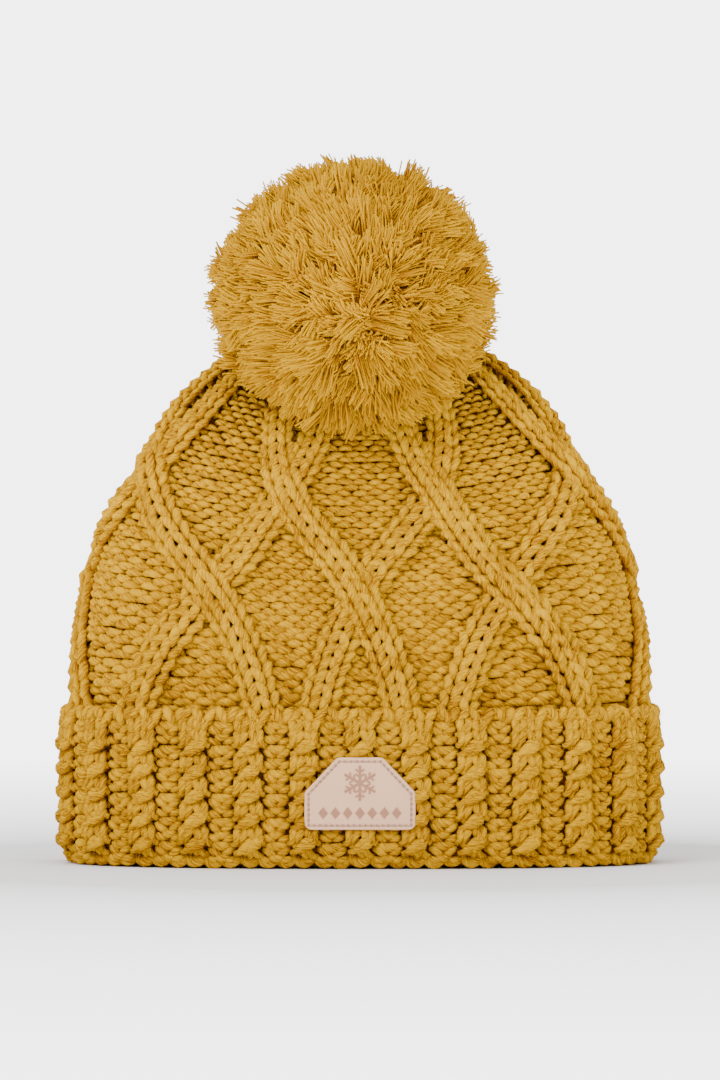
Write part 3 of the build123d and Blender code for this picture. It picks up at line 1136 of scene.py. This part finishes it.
class BEANIE_OT_pom(bpy.types.Operator):
    """Fill the pom pom with cut yarn"""

    bl_idname = "beanie.pom"
    bl_label = "Pom pom"

    def execute(self, context):
        pom = context.scene.beanie_pom
        rng = np.random.default_rng(14)
        points, along, yarn, lock = pom_strands(pom.strands, 4, rng)
        points, along, keep = keep_clear(points, along)
        yarn = yarn[keep]
        shade = 0.5 * rng.random(pom.strands)[yarn] + 0.5 * rng.random(pom.strands)[lock[yarn]]
        outward = unit(points - POM_MIDDLE)
        thick = 0.75 + 0.5 * rng.random((len(points), 1))
        radius = pom.strand_radius / MM * (1 - 0.35 * along**2) * thick
        finish = pom_finish(pom)
        per_piece = 6000
        for number, first in enumerate(range(0, len(points), per_piece), 1):
            part = slice(first, first + per_piece)
            outward_part = unit(np.cross(outward[part], np.array([0.3, 0.1, 1.0])))
            piece = tube_piece(
                f"pom_strands_{number}",
                points[part],
                outward_part,
                radius[part],
                3,
                shade[part],
                finish,
                body="pom",
                slot="pom_yarn",
            )
            set_attribute(piece, "reach", np.repeat(along[part], 3, axis=1))
            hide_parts("pom_pom")
        # The core ball is coloured in painted shade.
        core = sphere_points(24, 48) * 29.0 + POM_MIDDLE
        hit = wedge_room(core) + 2.0
        core[..., 2] += np.where((hit > 0) & (core[..., 1] > -38), hit, 0)
        core[..., 1] -= np.where((hit > 0) & (core[..., 1] <= -38), hit, 0)
        closed_ball("pom_core", core, shaded_pom_core_finish(pom), body="pom", slot="pom_yarn")
        return {"FINISHED"}


def sphere_points(rows, columns):
    """Unit sphere as (rows, columns, 3), from the south pole to the north."""
    tilt = np.linspace(-math.pi / 2, math.pi / 2, rows)[:, None]
    turn = (TAU * np.arange(columns) / columns)[None, :]
    return np.stack(
        [np.cos(tilt) * np.cos(turn), np.cos(tilt) * np.sin(turn), np.sin(tilt) + 0 * turn],
        axis=-1,
    )


def closed_ball(name, points, material, **more):
    """Ball over (rows, columns, 3) whose first and last rows are single points."""
    rows, columns = points.shape[:2]
    inner = points[1:-1].reshape(-1, 3)
    all_points = np.concatenate([points[0, :1], inner, points[-1, :1]])
    c = np.arange(columns)
    after = (c + 1) % columns
    r = np.arange(rows - 3)[:, None]
    base = 1 + r * columns
    quads = np.stack(
        [base + c, base + after, base + columns + after, base + columns + c], axis=-1
    )
    top = len(all_points) - 1
    last = 1 + (rows - 3) * columns
    bottom_fan = np.stack([0 * c, 1 + after, 1 + c], axis=-1)
    top_fan = np.stack([0 * c + top, last + c, last + after], axis=-1)
    corners = np.concatenate([quads.ravel(), bottom_fan.ravel(), top_fan.ravel()])
    counts = np.concatenate([np.full(quads.size // 4, 4), np.full(2 * columns, 3)])
    return new_piece(name, all_points, counts, corners, material, **more)


def tie_lines():
    """Two strands wound as a double helix along the line from the crown to the pom pom."""
    s = np.linspace(0, 1, 22)
    axis = POM_MIDDLE - TIE_POINT
    lines = []
    aside = unit(np.cross(axis, np.array([1.0, 0, 0])))
    other = unit(np.cross(axis, aside))
    for phase in (0, math.pi):
        turn = s * 9 + phase
        wind = aside * np.cos(turn)[:, None] + other * np.sin(turn)[:, None]
        lines.append(TIE_POINT + axis * (s[:, None] * 0.62) + wind * 1.15)
    return np.array(lines), aside


def gathering_lines():
    """Two strands wound round each other in a level ring over the crown's last row."""
    angle = TAU * np.arange(241) / 240
    ring = []
    for phase in (0, math.pi):
        wind = angle * 9 + phase
        reach = 7.0 + 0.75 * np.cos(wind)
        height = CROWN_HIGH[2] + 0.2 + 0.75 * np.sin(wind)
        ring.append(np.stack([reach * np.cos(angle), reach * np.sin(angle), height], axis=-1))
    return np.array(ring)


def binding_lines():
    """Three circles side by side round the pom pom's middle, each swaying a little sideways."""
    wraps = np.array([-1.15, 0.0, 1.15])[:, None]
    angle = (TAU * np.arange(61) / 60)[None, :]
    reach = (BINDING_HIGH[2] - BINDING_LOW[2]) / 2 - 1.15
    x = POM_MIDDLE[0] + wraps + 0.3 * np.sin(angle)
    y = POM_MIDDLE[1] + reach * np.cos(angle) + 0 * wraps
    z = POM_MIDDLE[2] + reach * np.sin(angle) + 0 * wraps
    return np.stack([x, y, z], axis=-1)


def knot_lines():
    """A trefoil knot under the crown's top, and two wavy tails that spread as they hang."""
    turn = np.linspace(0, TAU, 121)
    x = 1.5 * (np.sin(turn) + 2 * np.sin(2 * turn)) * 0.72
    y = 1.5 * (np.cos(turn) - 2 * np.cos(2 * turn)) * 0.72
    knot = np.stack([x, y, -1.1 * np.sin(3 * turn)], axis=-1)
    knot = knot + np.array([0, 0, CROWN_HIGH[2] - CROWN_WALL - 4.0])
    s = np.linspace(0, 1, 121)
    height = CROWN_HIGH[2] - CROWN_WALL - 5.5 - 17 * s**0.9
    tails = [
        np.stack([way * (1.0 + 5 * s + 1.5 * np.sin(4 * s)), 2.0 * np.sin(3 * s + way), height], axis=-1)
        for way in (-1, 1)
    ]
    return np.array([knot, *tails])


class BEANIE_OT_tie(bpy.types.Operator):
    """Twist the tie, its knot inside and the gathering yarn"""

    bl_idname = "beanie.tie"
    bl_label = "Tie and gathering yarn"

    def execute(self, context):
        yarn = context.scene.beanie_yarn
        finish = yarn_finish("ochre_yarn_tie", yarn.light, yarn.dark, twist=1.2)
        lines, aside = tie_lines()
        piece = worked_yarn("tie_strands", lines, aside, 1.3, 10, [0.3, 0.6], finish, body="pom_neck")
        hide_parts("pom_tie_cord")
        lines = gathering_lines()
        piece = worked_yarn("gathering_yarn", lines, [0, 0, 1.0], 0.95, 8, [0.4, 0.7], finish)
        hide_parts("crown_gather_yarn")
        lines, tones = binding_lines(), [0.3, 0.5, 0.7]
        piece = worked_yarn("binding_wraps", lines, lines - POM_MIDDLE, 1.1, 10, tones, finish, body="pom")
        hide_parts("pom_binding")
        piece = worked_yarn("inner_knot", knot_lines(), [0.1, 0.2, 1.0], 1.25, 8, tones, finish)
        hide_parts("inner_tie_knot")
        return {"FINISHED"}


def worked_yarn(name, lines, outward, radius, sides, tones, finish, **more):
    """Round strands of one thickness along lines of points."""
    outward = np.broadcast_to(np.asarray(outward), lines.shape)
    thick = np.full(lines.shape[:2], radius)
    return tube_piece(name, lines, outward, thick, sides, np.array(tones), finish, slot="yarn", **more)


# ---------------------------------------------------------------- patch

PATCH_TOP_WIDTH = 18.0
PATCH_SIDE_HEIGHT = 15.0
PATCH_CORNER = 3.0
PATCH_THICKNESS = 1.6
STITCH_INSET = 1.7
STITCH_PITCH = 2.4


def patch_corners(inset):
    """The patch's outline that far in from its edge, counted round from the lower left."""
    width, height = PATCH_HIGH[0] - PATCH_LOW[0], PATCH_HIGH[2] - PATCH_LOW[2]
    half = width / 2
    slope = math.atan2(height - PATCH_SIDE_HEIGHT, half - PATCH_TOP_WIDTH / 2)
    side = PATCH_SIDE_HEIGHT - inset * (1 - math.sin(slope)) / math.cos(slope)
    top = PATCH_TOP_WIDTH / 2 - inset * (1 - math.cos(slope)) / math.sin(slope)
    left = [(inset - half, inset), (inset - half, side), (-top, height - inset)]
    return np.array(left + [(-x, z) for x, z in reversed(left)])


def brim_front(x):
    """Y of the brim's front face at x, from |x/a|^n + |y/b|^n = 1."""
    return -BRIM.half_depth * (1 - np.abs(x / BRIM.half_width) ** PLAN_FLATNESS) ** (1 / PLAN_FLATNESS)


def outline_distance(x, z, corners):
    """Distance inside a convex outline, to its nearest side; negative outside."""
    nearest = np.full(np.shape(x), np.inf)
    for (x0, z0), (x1, z1) in zip(corners, np.roll(corners, -1, axis=0)):
        run = math.hypot(x1 - x0, z1 - z0)
        inward = ((x1 - x0) * (z - z0) - (z1 - z0) * (x - x0)) / run
        nearest = np.minimum(nearest, -inward)
    return nearest


def bar_distance(x, z, start, end, width):
    """Distance outside a bar with round ends; negative within it."""
    dx, dz = end[0] - start[0], end[1] - start[1]
    t = np.clip(((x - start[0]) * dx + (z - start[1]) * dz) / (dx * dx + dz * dz), 0, 1)
    return np.hypot(x - start[0] - t * dx, z - start[1] - t * dz) - width / 2


def motif_depth(x, z):
    """1 where the motif is pressed in: a six-armed star over a row of diamonds."""
    gap = np.full(np.shape(x), np.inf)
    centre = (0.0, 18.6)
    for arm in range(6):
        turn = math.pi / 6 + arm * math.pi / 3
        way = np.array([math.cos(turn), math.sin(turn)])
        tip = (centre[0] + 6.6 * way[0], centre[1] + 6.6 * way[1])
        gap = np.minimum(gap, bar_distance(x, z, centre, tip, 1.15))
        for reach, size in ((2.6, 1.9), (4.5, 1.7)):
            root = (centre[0] + reach * way[0], centre[1] + reach * way[1])
            for bend in (-math.pi / 3, math.pi / 3):
                end = (
                    root[0] + size * math.cos(turn + bend),
                    root[1] + size * math.sin(turn + bend),
                )
                gap = np.minimum(gap, bar_distance(x, z, root, end, 0.85))
    for place in range(-3, 4):
        diamond = np.abs(x - 4.9 * place) / 1.0 + np.abs(z - 6.6) / 1.25 - 2.0
        gap = np.minimum(gap, diamond * 0.8)
    return 1 / (1 + np.exp(np.clip(gap / 0.09, -40, 40)))


def stitch_places():
    """Middle, direction and length of each stitch along the patch's inset line."""
    corners = patch_corners(STITCH_INSET)
    places = []
    for start, end in zip(corners, np.roll(corners, -1, axis=0)):
        run = float(np.hypot(*(end - start)))
        count = math.ceil(run / STITCH_PITCH)
        way = (end - start) / run
        places += [(start + way * run * (i + 0.5) / count, way, run / count) for i in range(count)]
    return places


class BEANIE_OT_patch(bpy.types.Operator):
    """Cut, press and sew on the leather patch"""

    bl_idname = "beanie.patch"
    bl_label = "Leather patch"

    def execute(self, context):
        patch = context.scene.beanie_patch
        angles, face_rings, wall_rings = 400, 74, 10
        centre = np.array([0.0, (PATCH_HIGH[2] - PATCH_LOW[2]) * 0.47])
        turn = TAU * np.arange(angles) / angles
        way = np.stack([np.cos(turn), np.sin(turn)], axis=-1)
        reach = rounded_reach(centre, way)
        fraction = np.concatenate([np.linspace(0.004, 1, face_rings), np.full(wall_rings, 1.0)])
        flat = centre + way[None] * (reach[None, :] * fraction[:, None])[..., None]
        x, z = flat[..., 0], flat[..., 1]
        inside = np.clip(reach[None, :] * (1 - fraction[:, None]), 0, None)
        edge = 0.55
        rounding = edge - np.sqrt(np.clip(edge**2 - np.clip(edge - inside, 0, edge) ** 2, 0, None))
        pressed = motif_depth(x, z)
        line = np.abs(outline_distance(x, z, patch_corners(STITCH_INSET)))
        groove = np.exp(-((line / 0.55) ** 2))
        # hole marks the stitch holes: a shallow dent here, and painted shade in the leather material.
        hole = np.zeros_like(x)
        for middle, along, pitch in stitch_places():
            for end in (-0.5, 0.5):
                spot = middle + along * pitch * end
                hole = np.maximum(hole, np.exp(-((x - spot[0]) ** 2 + (z - spot[1]) ** 2) / 0.16))
        thick = PATCH_THICKNESS - rounding - 0.42 * pressed - 0.22 * groove - 0.75 * hole
        down = np.linspace(1, 0, wall_rings + 1)[1:]
        thick[-wall_rings:] = thick[-wall_rings - 1] * down[:, None]
        y = brim_front(x) - thick
        front = np.stack([x, y, z + PATCH_LOW[2]], axis=-1)
        rings = np.concatenate([front, front[-1:]])
        shell = disc_piece("leather_patch_face", rings, leather_finish(patch), slot="patch_leather")
        marks = np.concatenate([pressed, pressed[-1:] * 0])
        holes = np.concatenate([hole, hole[-1:] * 0])
        edges = np.concatenate([np.exp(-inside / 0.35), np.ones((1, angles))])
        for name, values in (("motif", marks), ("hole", holes), ("edge", edges)):
            ends = ([values[0, 0]], values.ravel(), [values[-1, 0]])
            set_attribute(shell, name, np.concatenate(ends))
        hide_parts("leather_patch")
        self.sew()
        return {"FINISHED"}

    @staticmethod
    def sew():
        """Thread between each pair of holes, a bow just over the leather."""
        places = stitch_places()
        t = np.linspace(-1, 1, 7)
        lines = []
        for middle, along, pitch in places:
            flat = middle[None] + along[None] * (t * 0.46 * pitch)[:, None]
            y = brim_front(flat[:, 0]) - PATCH_THICKNESS + 0.12 + 0.5 * t**4
            lines.append(np.stack([flat[:, 0], y, flat[:, 1] + PATCH_LOW[2]], axis=-1))
        lines = np.array(lines)
        outward = np.broadcast_to(np.array([0.0, -1.0, 0.0]), lines.shape)
        rng = np.random.default_rng(15)
        finish = thread_finish("patch_thread", (0.62, 0.38, 0.27))
        piece = tube_piece(
            "patch_sewing", lines, outward, np.full(lines.shape[:2], 0.3), 8,
            rng.random(len(lines)), finish, slot="patch_thread",
        )
        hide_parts("patch_stitching")


def rounded_reach(centre, way):
    """How far the patch's outline, its corners rounded, lies from the centre in each direction."""
    low, high = np.zeros(len(way)), np.full(len(way), 60.0)
    inner = patch_corners(PATCH_CORNER)
    for _ in range(40):
        middle = (low + high) / 2
        point = centre + way * middle[:, None]
        outside = hull_distance(point[:, 0], point[:, 1], inner) > PATCH_CORNER
        low, high = np.where(outside, low, middle), np.where(outside, middle, high)
    return low


def hull_distance(x, z, corners):
    """Distance outside a convex outline; zero within it."""
    inside = outline_distance(x, z, corners) >= 0
    nearest = np.full(np.shape(x), np.inf)
    for start, end in zip(corners, np.roll(corners, -1, axis=0)):
        nearest = np.minimum(nearest, bar_distance(x, z, start, end, 0.0))
    return np.where(inside, 0.0, nearest)


def disc_piece(name, rings, material, **more):
    """Disc over (rings, angles, 3) from a small first ring outwards, closed at its middle and
    over the back."""
    count, angles = rings.shape[:2]
    centre = rings[0].mean(axis=0)
    back = rings[-1].mean(axis=0)
    points = np.concatenate([[centre], rings.reshape(-1, 3), [back]])
    c = np.arange(angles)
    after = (c + 1) % angles
    base = 1 + np.arange(count - 1)[:, None] * angles
    quads = np.stack([base + c, base + angles + c, base + angles + after, base + after], axis=-1)
    middle = np.stack([0 * c, 1 + c, 1 + after], axis=-1)
    last = 1 + (count - 1) * angles
    rear = np.stack([0 * c + len(points) - 1, last + after, last + c], axis=-1)
    corners = np.concatenate([quads.ravel(), middle.ravel(), rear.ravel()])
    counts = np.concatenate([np.full(quads.size // 4, 4), np.full(2 * angles, 3)])
    return new_piece(name, points, counts, corners, material, **more)


# ---------------------------------------------------------------- lining and label

FLEECE_THICKNESS = 2.5


def lining_wall(turn, depth):
    """Point and normal on an upright oval that far inside the crown's outer face."""
    wall = OvalWall(CROWN.half_width - depth, CROWN.half_depth - depth)
    return wall.place(turn, np.zeros_like(turn))


class BEANIE_OT_lining(bpy.types.Operator):
    """Line the inside with fleece and sew its upper edge"""

    bl_idname = "beanie.lining"
    bl_label = "Fleece lining"

    def execute(self, context):
        rng = np.random.default_rng(16)
        turns, levels = 400, 48
        turn = np.broadcast_to(np.arange(turns) / turns, (levels, turns))
        low, high = FLEECE_LOW[2], FLEECE_HIGH[2]
        section = np.linspace(0, 1, levels)
        outer_side = section < 0.25
        z = np.where(outer_side, high - (high - low) * section / 0.25, 0)
        z = np.where(outer_side, z, low + (high - low) * (section - 0.25) / 0.75)
        depth = np.where(outer_side, CROWN_WALL + 0.25, CROWN_WALL + FLEECE_THICKNESS)
        plan, normal = lining_wall(turn, 0.0)
        pile = sum(
            np.sin(turn * TAU * around + level * z[:, None] / 9 + phase)
            for around, level, phase in ((37, 2.1, 0.2), (61, -3.3, 1.7), (89, 4.1, 3.1))
        )
        edge = np.minimum(z - low, high - z)[:, None]
        inner = (~outer_side)[:, None] * 0.12 * pile
        rounded = (~outer_side)[:, None] * 1.2 * np.exp(-((edge / 1.5) ** 2))
        points = plan - normal * (depth[:, None] - rounded - 0.3 + inner * 0.8)[..., None]
        points[..., 2] = z[:, None]
        piece = ring_piece("fleece_band_cloth", points[::-1], fleece_finish(), slot="fleece")
        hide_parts("fleece_band")
        girth = CROWN.girth(np.array(20.0)) - TAU * 8
        self.sew(rng)
        return {"FINISHED"}

    @staticmethod
    def sew(rng):
        """Zigzag of thread over the lining's upper edge."""
        stitches = 380
        t = np.linspace(-1, 1, 6)
        start = (np.arange(stitches) + 0.5) / stitches
        lean = np.where(np.arange(stitches) % 2 == 0, 1, -1)[:, None]
        turn = start[:, None] + t[None, :] * 0.5 / stitches
        plan, normal = lining_wall(turn, 0.0)
        depth = CROWN_WALL + 1.1 + 1.2 * (1 - t**2)
        lines = plan - normal * depth[None, :, None]
        lines[..., 2] = FLEECE_HIGH[2] + 0.2 + lean * t[None, :] * 1.1
        finish = thread_finish("lining_thread", (0.55, 0.25, 0.02))
        piece = tube_piece(
            "lining_zigzag", lines, -normal, np.full(lines.shape[:2], 0.38), 6,
            rng.random(stitches), finish, slot="fleece_thread",
        )
        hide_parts("fleece_band_stitching")


class BEANIE_OT_label(bpy.types.Operator):
    """Fold the care label and tack it to the lining"""

    bl_idname = "beanie.label"
    bl_label = "Care label"

    def execute(self, context):
        low, high = node_box("care_label")
        middle = (low[1] + high[1]) / 2
        columns, rows = 40, 30
        half = (high[1] - low[1]) / 2 - 0.12
        drop = np.linspace(high[2] - 0.5, low[2] + half, rows)
        fold = np.linspace(0, math.pi, 9)[1:-1]
        y = np.concatenate([np.full(rows, -half), -half * np.cos(fold), np.full(rows, half)])
        z = np.concatenate([drop, low[2] + half - half * np.sin(fold), drop[::-1]])
        x = np.linspace(low[0], high[0], columns)
        thin = 0.11
        tangent = unit(np.gradient(np.stack([y, z], axis=-1), axis=0))
        across = np.stack([tangent[:, 1], -tangent[:, 0]], axis=-1)
        front = np.stack([y, z], axis=-1) + across * thin
        back = np.stack([y, z], axis=-1) - across * thin
        section = np.concatenate([back, front[::-1]])
        wave = 0.05 * np.sin(x / 3.7)
        count = len(section)
        points = np.zeros((columns, count, 3))
        points[..., 0] = x[:, None]
        points[..., 1] = middle + section[None, :, 0] + wave[:, None]
        points[..., 2] = section[None, :, 1]
        piece = ribbon_piece(
            "care_label_tape", points, label_finish(), body="label", slot="label_tape"
        )
        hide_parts("care_label")
        bar_low, bar_high = node_box("care_label_stitching")
        stitches = 17
        t = np.linspace(-1, 1, 6)
        spot = bar_low[0] + (bar_high[0] - bar_low[0]) * (np.arange(stitches) + 0.5) / stitches
        lines = np.zeros((stitches, 6, 3))
        lines[..., 0] = spot[:, None] + 0.35 * t
        lines[..., 1] = bar_low[1] + 0.15 + 0.7 * (t**4)[None, :]
        lines[..., 2] = (bar_low[2] + bar_high[2]) / 2 + 0.75 * t
        outward = np.broadcast_to(np.array([0.0, -1.0, 0.0]), lines.shape)
        tack = tube_piece(
            "label_tacking", lines, outward, np.full(lines.shape[:2], 0.28), 6,
            np.linspace(0, 1, stitches), thread_finish("label_thread", (0.6, 0.55, 0.45)),
            slot="fleece_thread",
        )
        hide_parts("care_label_stitching")
        return {"FINISHED"}


def ribbon_piece(name, points, material, **more):
    """Closed bar over (columns, section, 3), capped at both ends by strips of quads."""
    columns, count = points.shape[:2]
    c, s = np.meshgrid(np.arange(columns - 1), np.arange(count), indexing="ij")
    after = (s + 1) % count
    quads = np.stack(
        [c * count + s, (c + 1) * count + s, (c + 1) * count + after, c * count + after], axis=-1
    )
    half = count // 2
    i = np.arange(half - 1)
    mate = count - 1 - i
    start = np.stack([i, i + 1, mate - 1, mate], axis=-1)
    end = start[:, ::-1] + (columns - 1) * count
    corners = np.concatenate([quads.ravel(), start.ravel(), end.ravel()])
    counts = np.full(len(corners) // 4, 4)
    return new_piece(name, points.reshape(-1, 3), counts, corners, material, **more)


# ---------------------------------------------------------------- stage

CAMERA_DISTANCE = 2.5
CAMERA_HEIGHT = 0.1319
VIEW_HEIGHT = 0.4425
STUDIO_RADIUS = 5.0
GLOW = 5.0
WHITE = (1.0, 1.0, 1.0, 1.0)
PLAIN_FLOOR = 0.2  # metres round the middle where the floor takes shadows fully


class BEANIE_OT_stage(bpy.types.Operator):
    """Set the floor, the lights and the camera"""

    bl_idname = "beanie.stage"
    bl_label = "Stage"

    def execute(self, context):
        scene = context.scene
        self.lay_floor(scene)
        self.close_studio(scene)
        self.hang_lamps(scene)
        self.place_camera(scene)
        return {"FINISHED"}

    @staticmethod
    def lay_floor(scene):
        """A pale square that turns to the studio's own white away from the middle."""
        finish = Finish("pale_floor", Roughness=0.9, Specular_IOR_Level=0.1)
        finish.shader.inputs["Base Color"].default_value = (0.92, 0.92, 0.92, 1.0)
        distance = finish.node(
            "ShaderNodeVectorMath", {"operation": "LENGTH"}, {0: finish.object_point()}, output=1
        )
        far = (distance - PLAIN_FLOOR).clamp()
        light = finish.node("ShaderNodeEmission", None, {"Color": WHITE, "Strength": GLOW})
        near = Socket(finish, finish.shader.outputs[0])
        blend = finish.node("ShaderNodeMixShader", None, {0: far ** 0.7, 1: near, 2: light})
        target = finish.tree.nodes["Material Output"].inputs["Surface"]
        finish.tree.links.new(blend.socket, target)
        mesh = bpy.data.meshes.new("floor")
        size = STUDIO_RADIUS
        mesh.from_pydata(
            [(-size, -size, 0), (size, -size, 0), (size, size, 0), (-size, size, 0)],
            [],
            [(0, 1, 2, 3)],
        )
        mesh.materials.append(finish.material)
        floor = bpy.data.objects.new("floor", mesh)
        scene.collection.objects.link(floor)

    @staticmethod
    def close_studio(scene):
        """A white ball round everything, which only the camera sees, and the world's light."""
        finish = Finish("white_studio", Specular_IOR_Level=0.0)
        finish.shader.inputs["Base Color"].default_value = (0.0, 0.0, 0.0, 1.0)
        finish.shader.inputs["Emission Color"].default_value = WHITE
        finish.shader.inputs["Emission Strength"].default_value = GLOW
        studio = closed_ball("studio", -sphere_points(16, 32) * STUDIO_RADIUS / MM, finish.material)
        for kind in ("diffuse", "glossy", "transmission", "shadow"):
            setattr(studio, f"visible_{kind}", False)
        world = bpy.data.worlds.new("studio")
        scene.world = world
        world.use_nodes = True
        world.node_tree.nodes["Background"].inputs[0].default_value = WHITE
        world.node_tree.nodes["Background"].inputs[1].default_value = 0.8

    @staticmethod
    def hang_lamps(scene):
        """Square lamps, each turned to the middle of the hat."""
        lamps = (
            ("key_light", (-0.9, -1.4, 1.5), 1.2, 40.0),
            ("fill_light", (1.3, -1.5, 0.7), 1.4, 12.0),
            ("top_light", (0.0, 0.1, 1.6), 1.2, 14.0),
        )
        for name, place, side, watts in lamps:
            light = bpy.data.lights.new(name, "AREA")
            light.size = side
            light.energy = watts
            lamp = bpy.data.objects.new(name, light)
            lamp.location = place
            aim = np.array([0, 0, 0.14]) - np.array(place)
            lamp.rotation_euler = _look_along(aim)
            scene.collection.objects.link(lamp)

    @staticmethod
    def place_camera(scene):
        """A level camera in front, whose frame is VIEW_HEIGHT tall at the hat."""
        data = bpy.data.cameras.new("camera")
        data.sensor_fit = "VERTICAL"
        data.sensor_height = 36.0
        data.lens = 36.0 * CAMERA_DISTANCE / VIEW_HEIGHT
        data.clip_end = 20.0
        camera = bpy.data.objects.new("camera", data)
        camera.location = (0.0, -CAMERA_DISTANCE, CAMERA_HEIGHT)
        camera.rotation_euler = (math.pi / 2, 0.0, 0.0)
        scene.collection.objects.link(camera)
        scene.camera = camera


def _look_along(aim):
    """Euler angles that turn a lamp's -Z along aim."""
    flat = math.hypot(aim[0], aim[1])
    return (math.atan2(flat, -aim[2]), 0.0, math.atan2(aim[0], -aim[1]) + math.pi)


class BEANIE_PT_panel(bpy.types.Panel):
    bl_label = "Pom Pom Beanie"
    bl_space_type = "VIEW_3D"
    bl_region_type = "UI"
    bl_category = "Beanie"

    def draw(self, context):
        layout = self.layout
        for group in (context.scene.beanie_yarn, context.scene.beanie_pom, context.scene.beanie_patch):
            for name in group.__annotations__:
                layout.prop(group, name)
        for operator in OPERATORS:
            layout.operator(operator.bl_idname)


OPERATORS = (
    BEANIE_OT_ground,
    BEANIE_OT_cables,
    BEANIE_OT_backing,
    BEANIE_OT_inside,
    BEANIE_OT_brim,
    BEANIE_OT_pom,
    BEANIE_OT_tie,
    BEANIE_OT_patch,
    BEANIE_OT_lining,
    BEANIE_OT_label,
    BEANIE_OT_stage,
)
GROUPS = {"beanie_yarn": BeanieYarn, "beanie_pom": BeaniePom, "beanie_patch": BeaniePatch}


def register():
    for group in GROUPS.values():
        bpy.utils.register_class(group)
    for name, group in GROUPS.items():
        setattr(bpy.types.Scene, name, bpy.props.PointerProperty(type=group))
    for operator in (*OPERATORS, BEANIE_PT_panel):
        bpy.utils.register_class(operator)


def unregister():
    for operator in reversed((*OPERATORS, BEANIE_PT_panel)):
        bpy.utils.unregister_class(operator)
    for name, group in GROUPS.items():
        delattr(bpy.types.Scene, name)
        bpy.utils.unregister_class(group)


def main():
    register()
    for operator in OPERATORS:
        section, name = operator.bl_idname.split(".")
        getattr(getattr(bpy.ops, section), name)()


if __name__ == "__main__":
    main()
